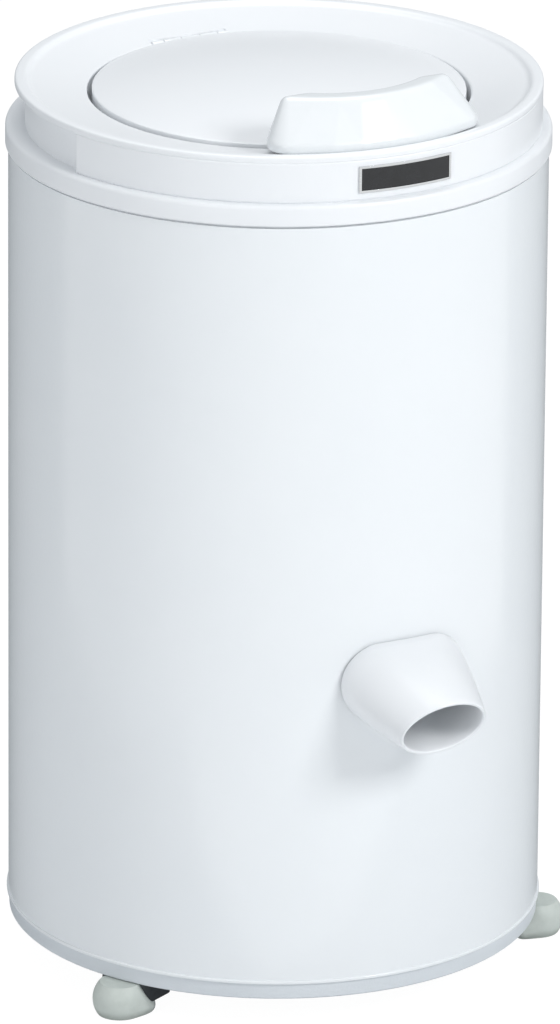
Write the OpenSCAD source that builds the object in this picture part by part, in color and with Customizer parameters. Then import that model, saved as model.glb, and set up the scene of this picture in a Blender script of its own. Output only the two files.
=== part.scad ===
// Laundry spin dryer: an upright sheet-steel cylinder on three rubber feet, with a moulded top
// collar, a round hinged lid with a raised handle, a drain spout at the front, and a perforated
// drum driven directly by a motor that hangs under the outer tub.
// +Z is up, the front is -Y, and the origin is on the drum axis at floor level. Millimetres.

/* [Body shell] */
// Outer diameter of the steel shell
body_d = 340; // [320:1:360]
// Height of the shell between its two edges
shell_h = 501; // [460:1:560]
// Sheet thickness of the shell
shell_t = 1; // [0.8:0.1:1.6]

/* [Base and feet] */
// Height of the base ring above the floor
foot_h = 22; // [20:1:28]
// Visible height of the base ring
base_h = 10; // [8:1:16]
// Thickness of the base floor
base_t = 3; // [2:0.5:5]
// How far the feet's circle stands inside the shell
foot_inset = 2; // [0:0.5:8]
// Angle of the front feet from the front
foot_a = 63; // [50:1:70]
// Radius of a foot's rubber bulb
foot_r = 17; // [14:0.5:20]
// Width of a foot bracket
bracket_w = 38; // [30:1:56]

/* [Top collar] */
// Height of the lip that caps the shell
lip_h = 15; // [12:1:20]
// Height from the lip to the top of the rim
apron_h = 30; // [26:1:36]
// Half angle of the front apron
apron_a = 78; // [60:1:90]
// Wall thickness of the collar moulding
collar_t = 3; // [2.5:0.1:4]
// How far the rim stands back from the shell
rim_inset = 4; // [2:0.5:6]
// How far the dished ring falls from rim to well
dish = 9; // [6:0.5:12]
// Width of the seat between the throat and the lid's edge
seat_w = 17.5; // [15:0.5:19]

/* [Lid] */
// Width from the lid's edge to the shell
ring_w = 52.5; // [51:0.5:58]
// Width of the groove round the lid
lid_gap = 3; // [2.5:0.5:5]
// Height of the lid's crown
crown = 11; // [6:0.5:16]
// Wall thickness of the lid panel
lid_t = 2.5; // [2:0.1:4]
// Radius of the hinge pin
hinge_pin_r = 1.6; // [1.2:0.1:2]

/* [Handle] */
// Half angle that the handle covers
handle_a = 28.5; // [24:0.5:32]
// How far the handle's front edge stands inside the shell
handle_inset = 14; // [13:0.5:20]
// How far the ridge stands behind the front edge
ridge_back = 10; // [6:0.5:14]
// Height of the ridge above the rim
ridge_h = 28; // [20:1:34]
// Wall thickness of the handle
handle_t = 2.6; // [2:0.1:4]

/* [Name plate] */
// Width of the plate
plate_w = 65; // [40:1:90]
// Height of the plate
plate_h = 17; // [12:0.5:19]

/* [Spout] */
// Height of the spout's root above the floor
spout_z = 232; // [226:1:244]
// Width of the root
spout_w = 86; // [76:1:88]
// Height of the root
spout_root_h = 52; // [48:1:56]
// Width of the mouth
mouth_w = 59.5; // [50:0.5:66]
// Height of the mouth
mouth_h = 47.7; // [40:0.1:50]
// How far the mouth stands out from the shell
spout_reach = 50; // [40:1:60]
// Wall thickness of the spout
spout_t = 2.5; // [2:0.1:4]

/* [Tub and drum] */
// Room between the shell and the tub
tub_gap = 15; // [14:0.5:18]
// Wall thickness of the tub
tub_t = 2.5; // [2:0.1:3.5]
// Room for the drum to swing in the tub
swing_gap = 30; // [25:0.5:34]
// Sheet thickness of the drum
drum_t = 1; // [0.8:0.1:1.6]
// How far the drum's mouth is wider than the throat
mouth_lap = 3; // [2:0.5:6]
// Rows of drain holes in the drum wall
hole_rows = 7; // [3:1:9]
// Drain holes in one row
holes_per_row = 20; // [12:1:28]
// Radius of a drain hole
hole_r = 2.5; // [1.5:0.1:3]

/* [Motor] */
// Radius of the motor shaft
shaft_r = 7.5; // [6:0.1:9]
// Outer radius of the stator
stator_r = 62; // [56:1:70]
// Height of the stator stack
stator_h = 58; // [50:1:62]
// Radius of the rotor
rotor_r = 34; // [30:1:38]
// Radius of the brake disc
brake_r = 46; // [40:1:50]

/* [Brake linkage] */
// Angle of the linkage from the front
link_a = 18; // [17.5:0.1:19.5]
// Radius of the brake rod
rod_r = 2; // [1.6:0.1:2.4]
// How far the brake rod moves
rod_travel = 3; // [2:0.1:3.2]

/* [Fits] */
// Clearance between fixed pieces
fit = 0.2; // [0.1:0.05:0.3]
// Radial running clearance of pins and shafts
run = 0.05; // [0.02:0.01:0.09]
// Gap at rest between bodies that move
gap = 0.4; // [0.3:0.05:0.5]

/* [Hidden] */
$fn = 96;
fine = 32;
R = body_d / 2;
shell_in = R - shell_t;
tub_r = R - tub_gap;
drum_r = tub_r - swing_gap;
lid_r = R - ring_w;
throat_r = lid_r - seat_w;
drum_mouth_r = throat_r + mouth_lap;
foot_circle_r = R - foot_inset;
handle_front_r = R - handle_inset;
ridge_r = handle_front_r - ridge_back;

// levels
shell_z = foot_h + base_h;
seam_z = shell_z + shell_h;
lip_z = seam_z + lip_h;
rim_z = lip_z + apron_h;

// collar
lip_r = R + 1.8;
lip_round = 3;
rim_r = R - rim_inset;
rim_w = 7;
rim_drop = 2.5;
rim_round = 2;
well_r = lid_r + lid_gap;
well_z = rim_z - dish;
crease_r = rim_r - rim_w - rim_drop;
spigot_r = shell_in - fit;
spigot_h = 12;
spigot_t = 3;
inner_r = tub_r + 2;
wall_r = inner_r + 2.5;
seat_z = well_z - 17;
throat_z = seam_z - 1;
wall_foot = seam_z - 7;

// lid
edge_z = well_z + 1.5;
hinge_y = lid_r + 1.5;
hinge_z = well_z - 2;
knuckle_r = 3.5;
knuckle_x = 13;
knuckle_w = 12;
ear_x = 23.5;
ear_w = 8;
mid_ear_w = 13;
pocket_gap = 1.6;
notch_half = ear_x + ear_w / 2;
skirt_z = seat_z + 8;
pan_r = throat_r - 3;
gasket_r = throat_r + 5;
gasket_w = 6;
gasket_h = 5;

// handle
ridge_z = rim_z + ridge_h;
ridge_round = 6;
front_z = rim_z - 1.2;
pivot_y = -(lid_r - 9.5);
pivot_z = rim_z + 1;
handle_pin_r = 1.6;
lug_x = 24;
lug_w = 5;
hook_ear_x = 32;
hook_t = 4;

// linkage
rod_at = inner_r + 3.2;
rocker_at = inner_r - 9;
rocker_z = lip_z - collar_t - 6;
rocker_in = 15;
hook_x = (rocker_at - rocker_in) * sin(link_a);
hook_y = -(rocker_at - rocker_in) * cos(link_a);
slot_w = hook_t + 4;
strike_z = well_z - 10;
strike_t = 1.5;

// spout
spout_out = R + spout_reach;
mouth_tilt = 30;
mouth_drop = 17;
neck_w = spout_w - 8;
neck_h = spout_root_h - 8;

// tub, drum and motor, counted from the tub floor
tub_z = spout_z - 26;
tub_rise = 8;
boss_z = tub_z - 10;
tub_top = seam_z - 12;
drum_z = spout_z + 30;
drum_top = throat_z - 5;
drum_lift = 6;
buffer_h = 36;
buffer_r = 13;
buffer_at = tub_r - 43;
mp_t = 3;
mp_z = boss_z - buffer_h - mp_t;
shield_h = 17;
stator_z = mp_z - shield_h - stator_h;
low_z = stator_z - shield_h;
fan_z = low_z - 12;
seal_z = tub_z + 10;
shaft_top = drum_z + drum_lift + 24;
bearing_r = 17;
bearing_h = 10;

// brake lever and disc
lever_at = 78;
lever_z = mp_z + mp_t + 13;
lever_t = 6;
pad_t = 5;
brake_gap = 2.2;
brake_z = lever_z + lever_t / 2 + pad_t + brake_gap;
brake_h = 7;
rocker_t = 5;
rod_foot = lever_z + lever_t / 2 + gap;
rod_head = rocker_z - rocker_t / 2 - gap - 0.15;
flag_z = tub_top - 35;

// electrics in the base
cap_at = tub_r - 43;
cap_a = 130;
cap_r = 22;
cap_h = 88;
cap_z = foot_h + 8;

// ---- shapes shared by several pieces ----

// places a child at an angle from the front, on a radius, with its -Y side facing outwards
module at(angle, radius = 0, z = 0) rotate([0, 0, angle]) translate([0, -radius, z]) children();

module tube(ro, ri, h) difference() {
    cylinder(r = ro, h = h);
    translate([0, 0, -1]) cylinder(r = ri, h = h + 2);
}

// revolves a profile from one angle to another, both counted from the front
module sector(from, to) rotate([0, 0, from - 90]) rotate_extrude(angle = to - from) children();

// a bar along X, centred
module bar(r, length) rotate([0, 90, 0]) cylinder(r = r, h = length, center = true, $fn = fine);

module stadium(w, h) {
    square([w - h, h], center = true);
    for (s = [-1, 1]) translate([s * (w - h) / 2, 0]) circle(d = h);
}

// a stadium that runs inwards from the given distance in front of the axis
module stadium_bar(w, h, from, to, z) translate([0, -to, z])
    rotate([90, 0, 0]) linear_extrude(from - to) stadium(w, h);

// extrudes a profile of radius and height as a thin wall across the -Y direction
module fin(t) rotate([0, 0, -90]) rotate([90, 0, 0]) linear_extrude(t, center = true) children();

module rounded_plate(w, d, h, r) linear_extrude(h) {
    square([w - 2 * r, d], center = true);
    square([w, d - 2 * r], center = true);
    for (x = [-1, 1], y = [-1, 1]) translate([x * (w / 2 - r), y * (d / 2 - r)]) circle(r, $fn = fine);
}

// ---- casing ----

// wrapped sheet with a turned-in lower edge and a lock seam at the rear
module body_shell() color("whitesmoke") difference() {
    union() {
        translate([0, 0, shell_z]) tube(R, shell_in, shell_h);
        translate([0, 0, shell_z]) tube(R, shell_in - seam_in, shell_t);
        at(180, shell_in + 0.2, gland_z + 20)
            translate([-seam_w / 2, 0, 0]) cube([seam_w, 1.7, seam_z - spigot_h - 28 - gland_z]);
    }
    stadium_bar(neck_w + 2 * fit, neck_h + 2 * fit, R + 5, R - 25, spout_z);
    at(180, R - 10, gland_z) rotate([90, 0, 0]) cylinder(r = gland_r + fit, h = 20);
    for (a = base_screw_at) at(a, R - 6, shell_z - 1) cylinder(r = screw_r + fit, h = 4, $fn = fine);
}
seam_in = 10;
seam_w = 12;
screw_r = 1.9;
base_screw_at = [30, 150, 210, 330];
gland_r = 8;
gland_z = shell_z + 40;

// moulded base: a ring that shows under the shell, a slotted floor and pads for the feet
module base_tray() color("gainsboro") difference() {
    union() {
        rotate_extrude() {
            polygon([[R - 20, foot_h], [R - 1.3, foot_h], [R - 0.5, foot_h + 0.8], [R - 0.5, shell_z],
                [R - 20, shell_z]]);
            translate([0, foot_h]) square([R - 19, base_t]);
            translate([shell_in - seam_in - 9.5, shell_z - 1]) square([3, 9]);
        }
        for (a = [0 : 30 : 330]) at(a + 15, R - 24, foot_h + 1) translate([-1.2, 0, 0]) cube([2.4, R - 63, 7]);
        translate([0, 0, foot_h + 1]) tube(41, 38, 9);
        for (a = foot_at) at(a, foot_circle_r - 13, foot_h + 1) cylinder(r = 8, h = base_h - 1 - fit);
    }
    for (a = [0 : 30 : 330]) at(a, R - 48, foot_h - 1) for (x = [-10.5, 10.5])
        translate([x - 3, 0, 0]) cube([6, 52, base_t + 2]);
    for (a = foot_at) at(a, foot_circle_r - 13, foot_h - 1)
        cylinder(r = screw_r + 0.1, h = 20, $fn = fine);
    for (a = base_screw_at) at(a, R - 6, foot_h - 1) {
        cylinder(r = screw_r + 0.1, h = base_h + 2, $fn = fine);
        cylinder(r = 4.2, h = 5, $fn = fine);
    }
}

module base_screws() color("silver") for (a = base_screw_at) at(a, R - 6, 0) {
    translate([0, 0, foot_h + 1]) cylinder(r = 3.8, h = 3, $fn = fine);
    translate([0, 0, foot_h + 3.5]) cylinder(r = screw_r, h = base_h + 1.5, $fn = fine);
}

module bracket_block(grow = 0) translate([0, 0, bracket_z - grow]) union() {
    translate([0, bracket_in, 0])
        rounded_plate(bracket_w + 2 * grow, bracket_d + 2 * grow, foot_h - bracket_z + grow - fit, 7 + grow);
}
bracket_z = 9;
bracket_in = 16;
bracket_d = 30;
foot_at = [-foot_a, foot_a, 180];

// black bracket between the base and a foot
module foot_bracket(angle) color("dimgray") at(angle, foot_circle_r) difference() {
    bracket_block();
    translate([0, 13, 0]) cylinder(r = screw_r + 0.1, h = 40, $fn = fine);
}

// rubber boot: a bulb pushed over the outer end of the bracket, worn flat underneath
module foot(angle) color("lightgray") at(angle, foot_circle_r) difference() {
    intersection() {
        hull() {
            translate([0, -2, 10]) sphere(r = foot_r, $fn = fine);
            translate([0, 14, 6]) sphere(r = foot_r - 4, $fn = fine);
        }
        translate([0, 0, foot_h / 2 - fit]) cube([80, 100, foot_h], center = true);
        translate([0, 0, 50]) cube([80, 100, 100], center = true);
    }
    bracket_block(fit);
    translate([0, 13, -1]) cylinder(r = screw_r + 0.1, h = 40, $fn = fine);
    translate([0, 13, -1]) cylinder(r = 4.5, h = 5, $fn = fine);
}

module foot_screws() color("silver") for (a = foot_at) at(a, foot_circle_r - 13, 0) {
    translate([0, 0, 1.2]) cylinder(r = 4, h = 2.7, $fn = fine);
    translate([0, 0, 3]) cylinder(r = screw_r, h = 30, $fn = fine);
}

// ---- top collar ----

module collar_profile() {
    // lip, ledge and spigot
    polygon([[spigot_r - spigot_t, seam_z - spigot_h], [spigot_r, seam_z - spigot_h],
        [spigot_r, seam_z + fit], [lip_r - 0.5, seam_z + fit], [lip_r, seam_z + 1],
        [lip_r, lip_z - lip_round], [lip_r - 0.9, lip_z - 0.9], [lip_r - lip_round, lip_z],
        [inner_r - 1, lip_z], [inner_r - 1, lip_z - collar_t], [spigot_r - spigot_t, lip_z - collar_t]]);
    // wall that carries the ring
    translate([inner_r - 2.5, wall_foot]) square([2.5, rim_z - rim_drop - wall_foot - 1]);
    // raised rim
    polygon([[rim_r - rim_w - rim_drop, rim_z - rim_drop], [rim_r - rim_w, rim_z],
        [rim_r - rim_round, rim_z], [rim_r - 0.6, rim_z - 0.6], [rim_r, rim_z - rim_round],
        [rim_r, rim_z - 4], [rim_r - 1, rim_z - 5], [crease_r - 1, rim_z - 5]]);
    // dished ring and well wall
    polygon([[well_r, well_z - 1], [well_r + 1, well_z], [crease_r, rim_z - rim_drop],
        [crease_r, rim_z - 5.5], [well_r + 2.5, well_z - collar_t], [well_r + 2.5, seat_z - 2.5],
        [throat_r + 2.5, seat_z - 2.5], [throat_r + 2.5, throat_z], [throat_r, throat_z],
        [throat_r, seat_z - 1], [throat_r + 1, seat_z], [well_r, seat_z]]);
}

apron_r = rim_r - 0.25;

module apron_profile() translate([apron_r - collar_t, lip_z - 1]) square([collar_t, apron_h - 2]);

module collar_body() {
    rotate_extrude() collar_profile();
    sector(-apron_a, apron_a) apron_profile();
    for (from = [0.1 - apron_a, apron_a - 1.2]) sector(from, from + 1.1)
        translate([inner_r - 1, lip_z - 1]) square([apron_r - inner_r - 0.5, apron_h - 2]);
    sector(apron_a - 0.6, 360.6 - apron_a)
        translate([inner_r - 1, lip_z - 1]) square([wall_r - inner_r + 1, apron_h - 2]);
    // hinge pocket walls behind the well
    translate([-notch_half - 2, hinge_y - 4, seat_z - 2.5])
        cube([2 * notch_half + 4, knuckle_r + 10, well_z - seat_z]);
    // frame round the latch slot
    translate([hook_x - slot_w / 2 - 6, hook_y - 12, strike_z])
        cube([slot_w + 12, 24, well_z - strike_z + 1]);
    for (a = tub_screw_at) at(a, tub_lug_r, seam_z - spigot_h) cylinder(r = 4, h = 24);
}

// moulded collar: lip, apron at the front, cord groove round the rest, dished ring, well and throat
module top_collar() color("white") difference() {
    union() {
        difference() {
            collar_body();
            // well and hinge pocket
            translate([0, 0, seat_z]) cylinder(r = well_r, h = 40);
            translate([-notch_half, hinge_y - 10, seat_z]) cube([2 * notch_half, knuckle_r + 10 + pocket_gap, 30]);
        }
        hinge_ears();
    }
    translate([0, hinge_y, hinge_z]) bar(hinge_pin_r + run, 2 * notch_half + 10);
    translate([hook_x - slot_w / 2, hook_y - 9, seat_z]) cube([slot_w, 15, 40]);
    // window for the rocker
    at(link_a, inner_r - 1.5, rocker_z - 7) translate([-5, -4, 0]) cube([10, 8, 14]);
    for (a = tub_screw_at) at(a, tub_lug_r, seam_z - spigot_h - 1)
        cylinder(r = screw_r + 0.1, h = 20, $fn = fine);
}
tub_screw_at = [45, 135, 225, 315];
tub_lug_r = inner_r + 4.4;

// three ears stand out of the pocket's back wall and hold the hinge pin
module hinge_ears() for (e = [[-ear_x, ear_w], [0, mid_ear_w], [ear_x, ear_w]]) {
    translate([e[0], hinge_y, hinge_z]) bar(knuckle_r, e[1]);
    translate([e[0] - e[1] / 2, hinge_y, hinge_z - knuckle_r]) cube([e[1], knuckle_r + 5, 5]);
}

module hinge_pin() color("silver") translate([0, hinge_y, hinge_z]) bar(hinge_pin_r, 2 * notch_half);

// steel plate under the latch slot, past whose inner edge the hook's nose stands
module latch_strike() color("silver") difference() {
    translate([hook_x - slot_w / 2 - 6, hook_y - 12, strike_z - strike_t])
        cube([slot_w + 12, 24, strike_t - fit / 4]);
    translate([hook_x - slot_w / 2, hook_y - 9, strike_z - 5]) cube([slot_w, 9 + nose + gap, 10]);
    translate([0, 0, strike_z - 5]) cylinder(r = well_r + 2.5 + fit, h = 10);
}
nose = 5.2;

module collar_screws() color("silver") for (a = tub_screw_at) at(a, tub_lug_r, tub_top - 10) {
    cylinder(r = 3.6, h = 3, $fn = fine);
    cylinder(r = screw_r, h = 26, $fn = fine);
}

module plate_slab(w, h, r, out, depth) intersection() {
    translate([0, -R - 10, plate_z]) rotate([-90, 0, 0]) rounded_plate(w, h, 30, r);
    translate([0, 0, plate_z - h]) tube(apron_r + out, apron_r + out - depth, 2 * h);
}
plate_z = lip_z + 13.5;
plate_edge = 1.4;

module plate_border() color("silver") difference() {
    plate_slab(plate_w, plate_h, 2, 1.2, 1.15);
    plate_slab(plate_w - 2 * plate_edge, plate_h - 2 * plate_edge, 1.2, 3, 5);
}

module name_plate() color("black")
    plate_slab(plate_w - 2 * plate_edge, plate_h - 2 * plate_edge, 1.2, 0.9, 0.85);

// ---- spout ----

// solid between a stadium in the shell's wall and an ellipse at the mouth
module spout_solid(w, h, mw, mh, past) hull() {
    stadium_bar(w, h, R - 1, R - 8, spout_z, $fn = 48);
    translate([0, -spout_out, spout_z - mouth_drop]) rotate([90 + mouth_tilt, 0, 0])
        linear_extrude(0.6 + past) scale([mw / mh, 1]) circle(d = mh, $fn = 48);
}

// oval spout: its flange lies on the shell and its neck passes through to the tub
module spout() color("white") difference() {
    union() {
        difference() {
            spout_solid(spout_w, spout_root_h, mouth_w, mouth_h, 0);
            translate([0, 0, spout_z - 60]) cylinder(r = R + fit / 2, h = 120);
        }
        stadium_bar(neck_w, neck_h, R + 4, tub_r - 8, spout_z);
    }
    spout_solid(neck_w - 2 * spout_t, neck_h - 2 * spout_t,
        mouth_w - 2 * spout_t, mouth_h - 2 * spout_t, 2);
    stadium_bar(neck_w - 2 * spout_t, neck_h - 2 * spout_t, R - 3, tub_r - 20, spout_z);
    translate([0, 0, spout_z - 60]) cylinder(r = tub_r - tub_t - 1, h = 120);
}

// rubber ring between the tub and the shell round the spout's neck
module spout_gasket() color("dimgray") intersection() {
    difference() {
        stadium_bar(neck_w + 12, neck_h + 12, R, tub_r - 20, spout_z);
        stadium_bar(neck_w + 2 * fit, neck_h + 2 * fit, R + 5, tub_r - 25, spout_z);
    }
    translate([0, 0, spout_z - 60]) tube(shell_in - fit, tub_r + fit, 120);
}

// ---- tub ----

// moulded tub: sloping floor, central sleeve, bosses for the buffers and lugs under the collar
module outer_tub() color("lightsteelblue") difference() {
    union() {
        rotate_extrude() polygon([[sleeve_r, tub_z + tub_rise - 3], [tub_r - 8, tub_z - 3],
            [tub_r, tub_z + 5], [tub_r, tub_top], [tub_r - tub_t, tub_top], [tub_r - tub_t, tub_z + 6],
            [tub_r - 9, tub_z], [sleeve_r + 6, tub_z + tub_rise], [sleeve_r, sleeve_top],
            [sleeve_r - 4, sleeve_top], [sleeve_r - 4, seal_z], [sleeve_r - 6, seal_z],
            [sleeve_r - 6, boss_z], [sleeve_r, boss_z]]);
        for (a = [-60, 60, 180]) at(a, buffer_at, boss_z) cylinder(r = buffer_r + 3, h = tub_z - boss_z + 1);
        for (a = [0 : 60 : 300]) at(a + 30) fin(3) polygon([[sleeve_r - 1, boss_z + 4],
            [tub_r - 14, boss_z + 4], [tub_r - 14, tub_z - 1], [sleeve_r - 1, tub_z + tub_rise - 1]]);
        for (a = tub_screw_at) at(a, tub_r - 1, tub_top - 7)
            translate([-8, -(tub_lug_r + 4 - tub_r), 0]) cube([16, tub_lug_r + 5 - tub_r, 6.5]);
        for (z = rod_guides) at(link_a, rod_at, z) guide_eye();
    }
    for (a = tub_screw_at) at(a, tub_lug_r, tub_top - 9) cylinder(r = screw_r + 0.1, h = 12, $fn = fine);
    for (a = [-60, 60, 180]) at(a, buffer_at, boss_z - 1) cylinder(r = 4.1, h = 8, $fn = fine);
    stadium_bar(neck_w + 2 * fit, neck_h + 2 * fit, tub_r + 20, tub_r - 20, spout_z);
    at(link_a, rod_at, boss_z) cylinder(r = rod_r + run, h = tub_top - boss_z, $fn = fine);
}
sleeve_r = 22;
sleeve_top = drum_z - 18;
rod_guides = [tub_z + 60, tub_top - 60];

// eye that guides the brake rod beside the tub wall
module guide_eye() {
    cylinder(r = rod_r + 2, h = 10, $fn = fine);
    translate([-rod_r - 2, 0, 0]) cube([2 * rod_r + 4, rod_at - tub_r + 1, 10]);
}

// rubber ring between the tub's edge and the collar's inner wall
module tub_seal() color("dimgray") rotate_extrude() polygon([[tub_r - tub_t - 2, tub_top + fit / 2],
    [inner_r, tub_top + fit / 2], [inner_r, wall_foot - fit / 2], [inner_r - 2.5 - fit, wall_foot - fit / 2],
    [inner_r - 2.5 - fit, wall_foot + 4], [tub_r - tub_t - 2, wall_foot + 2]]);

// lip seal in the tub's sleeve
module shaft_seal() color("black") translate([0, 0, seal_z + fit]) difference() {
    cylinder(r = sleeve_r - 4 - fit / 4, h = 12);
    translate([0, 0, -1]) cylinder(r = shaft_r + run, h = 20);
    translate([0, 0, 3]) cylinder(r1 = shaft_r + 2, r2 = sleeve_r - 7, h = 10);
}

// ---- motor, hanging from the tub on three rubber buffers ----

module rubber_buffers() color("black") for (a = [-60, 60, 180]) at(a, buffer_at, mp_z + mp_t) {
    rotate_extrude() polygon([[0, 0], [buffer_r, 0], [buffer_r, 6], [buffer_r - 3, 12],
        [buffer_r - 3, buffer_h - 12], [buffer_r, buffer_h - 6], [buffer_r, buffer_h], [0, buffer_h]]);
    translate([0, 0, buffer_h - 1]) cylinder(r = 4, h = 8, $fn = fine);
    translate([0, 0, -mp_t - 6]) cylinder(r = 4, h = mp_t + 7, $fn = fine);
}

module motor_plate() color("silver") translate([0, 0, mp_z]) difference() {
    union() {
        cylinder(r = stator_r + 22, h = mp_t);
        for (a = [-60, 60, 180]) at(a) {
            translate([0, -buffer_at, 0]) cylinder(r = buffer_r + 4, h = mp_t);
            translate([-buffer_r - 4, -buffer_at, 0]) cube([2 * buffer_r + 8, buffer_at, mp_t]);
        }
    }
    translate([0, 0, -1]) cylinder(r = bearing_r + 4, h = 10);
    for (a = [-60, 60, 180]) at(a, buffer_at, -1) cylinder(r = 4.1, h = 10, $fn = fine);
    for (a = bolt_at) at(a, bolt_r, -1) cylinder(r = 2.6, h = 10, $fn = fine);
    for (a = [0, 120, 240]) at(a, 66, -1) cylinder(r = 9, h = 10);
}
bolt_at = [30, 150, 270];
bolt_r = stator_r - 5;

module shield_profile() polygon([[bearing_r - 3, 0], [bearing_r + 4, 0], [bearing_r + 4, 4],
    [stator_r - 12, 4], [stator_r - 12, flange_z], [stator_r, flange_z], [stator_r, shield_h],
    [stator_r - 10, shield_h],
    [stator_r - 10, shield_h - 4], [stator_r - 16, 7], [bearing_r + 4, 7],
    [bearing_r + 4, bearing_h + 2], [bearing_r + run, bearing_h + 2], [bearing_r + run, 2],
    [bearing_r - 3, 2]]);

module shield(z, up) color("silver") translate([0, 0, z]) mirror([0, 0, up ? 1 : 0]) difference() {
    rotate_extrude() shield_profile();
    for (a = bolt_at) at(a, bolt_r, -1) cylinder(r = 2.6, h = shield_h + 2, $fn = fine);
    for (a = [0 : 45 : 315]) at(a + 10, 38, -1) cylinder(r = 5, h = 10, $fn = fine);
}

flange_z = 9;

module upper_shield() shield(mp_z, true);
module lower_shield() shield(low_z, false);

module stator_core() color("dimgray") translate([0, 0, stator_z]) difference() {
    cylinder(r = stator_r, h = stator_h);
    translate([0, 0, -1]) cylinder(r = rotor_r + 0.6, h = stator_h + 2);
    for (a = bolt_at) at(a, bolt_r, -1) cylinder(r = 2.6, h = stator_h + 2, $fn = fine);
    for (a = [0 : 30 : 330]) at(a, stator_r + 1, -1) cylinder(r = 3, h = stator_h + 2, $fn = fine);
}

module winding_end() rotate_extrude() translate([43, 4.2]) circle(4.2 - fit, $fn = fine);

module stator_winding() color("chocolate") {
    translate([0, 0, stator_z + stator_h + fit]) winding_end();
    translate([0, 0, stator_z - 8.4 - fit]) winding_end();
}

module bearing(z) color("silver") translate([0, 0, z]) difference() {
    tube(bearing_r, shaft_r + run, bearing_h - fit);
    translate([0, 0, bearing_h - 1.5]) tube(bearing_r - 2.5, shaft_r + 2.5, 4);
    translate([0, 0, -2.7]) tube(bearing_r - 2.5, shaft_r + 2.5, 4);
}

module bearing_upper() bearing(mp_z - 2 - bearing_h + fit);
module bearing_lower() bearing(low_z + 2);

module motor_bolts() color("silver") for (a = bolt_at) at(a, bolt_r, low_z + flange_z) {
    translate([0, 0, -3.6]) cylinder(r = 4, h = 3.6, $fn = 6);
    translate([0, 0, -1]) cylinder(r = 2.5, h = mp_z + mp_t - low_z - flange_z + 6, $fn = fine);
    translate([0, 0, mp_z + mp_t - low_z - flange_z]) cylinder(r = 4, h = 3.6, $fn = 6);
}

module motor_shaft() color("lightgray") rotate_extrude() polygon([[0, fan_z - 4],
    [shaft_r - 2, fan_z - 4], [shaft_r - 2, low_z - 1], [shaft_r, low_z - 1],
    [shaft_r, shaft_top - 14], [shaft_r - 1.5, shaft_top - 14], [shaft_r - 1.5, shaft_top],
    [0, shaft_top]]);

module rotor_core() color("gray") translate([0, 0, stator_z + 2]) difference() {
    union() {
        cylinder(r = rotor_r, h = stator_h - 4);
        translate([0, 0, -5]) cylinder(r = rotor_r - 4, h = stator_h + 6);
    }
    translate([0, 0, -10]) cylinder(r = shaft_r + run / 2, h = stator_h + 20);
}

// steel disc keyed to the shaft over the brake pad
module brake_disc() color("darkgray") translate([0, 0, brake_z]) difference() {
    union() {
        cylinder(r = brake_r, h = brake_h);
        cylinder(r = 15, h = brake_h + 3);
    }
    translate([0, 0, -1]) cylinder(r = shaft_r + run / 2, h = 20);
    for (a = [0 : 60 : 300]) at(a, 24, -1) cylinder(r = 4, h = 20, $fn = fine);
}

module cooling_fan() color("dimgray") translate([0, 0, fan_z]) difference() {
    union() {
        cylinder(r = 50, h = 2);
        cylinder(r = 14, h = 10);
        for (a = [0 : 40 : 320]) at(a, 48) translate([-0.8, 0, 1]) cube([1.6, 36, 8.5]);
    }
    translate([0, 0, -1]) cylinder(r = shaft_r - 2 + run / 2, h = 20);
}

// ---- drum ----

// perforated wall, rolled over the edges of the floor and the rim
module drum() color("silver") difference() {
    translate([0, 0, drum_z + 3]) tube(drum_r, drum_r - drum_t, drum_top - drum_z - 15);
    for (row = [0 : hole_rows - 1], i = [0 : holes_per_row - 1])
        at((i + (row % 2) / 2) * 360 / holes_per_row, drum_r, drum_z + 28 + row * hole_pitch)
            rotate([90, 0, 0]) cylinder(r = hole_r, h = 8, center = true, $fn = 24);
}
hole_pitch = (drum_top - drum_z - 60) / (hole_rows - 1);

// dished floor, raised over the hub, with a lip that stands inside the wall
module drum_floor() color("silver") rotate_extrude() polygon([
    [hub_bore, drum_z + drum_lift], [48, drum_z + drum_lift], [60, drum_z], [drum_r - 7, drum_z],
    [drum_r - 3, drum_z + 1.5], [drum_in, drum_z + 6], [drum_in, drum_z + 14],
    [drum_in - drum_t, drum_z + 14], [drum_in - drum_t, drum_z + 6.4],
    [drum_r - 4, drum_z + 2.4], [drum_r - 7.4, drum_z + drum_t], [60.4, drum_z + drum_t],
    [48.4, drum_z + drum_lift + drum_t], [hub_bore, drum_z + drum_lift + drum_t]]);
hub_bore = shaft_r + 0.5;
drum_in = drum_r - drum_t - fit / 4;

// shoulder with a rolled mouth and a lip that stands inside the wall
module drum_rim() color("silver") rotate_extrude() {
    polygon([[drum_in, drum_top - 20], [drum_in, drum_top - 12], [drum_r - 3, drum_top - 7],
        [drum_mouth_r, drum_top - 2], [drum_mouth_r, drum_top - 2 - drum_t],
        [drum_r - 4, drum_top - 8], [drum_in - drum_t, drum_top - 12], [drum_in - drum_t, drum_top - 20]]);
    translate([drum_mouth_r, drum_top - 2]) circle(2, $fn = fine);
}

module drum_hub() color("darkgray") rotate_extrude() polygon([[shaft_r + run / 2, drum_z - 14],
    [20, drum_z - 14], [24, drum_z - 4], [44, drum_z - 1], [44, drum_z + drum_lift - fit / 4],
    [shaft_r + run / 2, drum_z + drum_lift - fit / 4]]);

module drum_nut() color("silver") translate([0, 0, drum_z + drum_lift + drum_t]) difference() {
    union() {
        cylinder(r = 20, h = 2);
        cylinder(r = 13, h = 11, $fn = 6);
        intersection() {
            translate([0, 0, 10]) sphere(r = 11.5);
            cylinder(r = 11.2, h = 24);
        }
    }
    translate([0, 0, -1]) cylinder(r = shaft_r + run, h = 11);
    translate([0, 0, 9]) cylinder(r = shaft_r - 1.5 + run, h = shaft_top - drum_z - drum_lift - 9);
}

// ---- brake linkage ----

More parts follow.
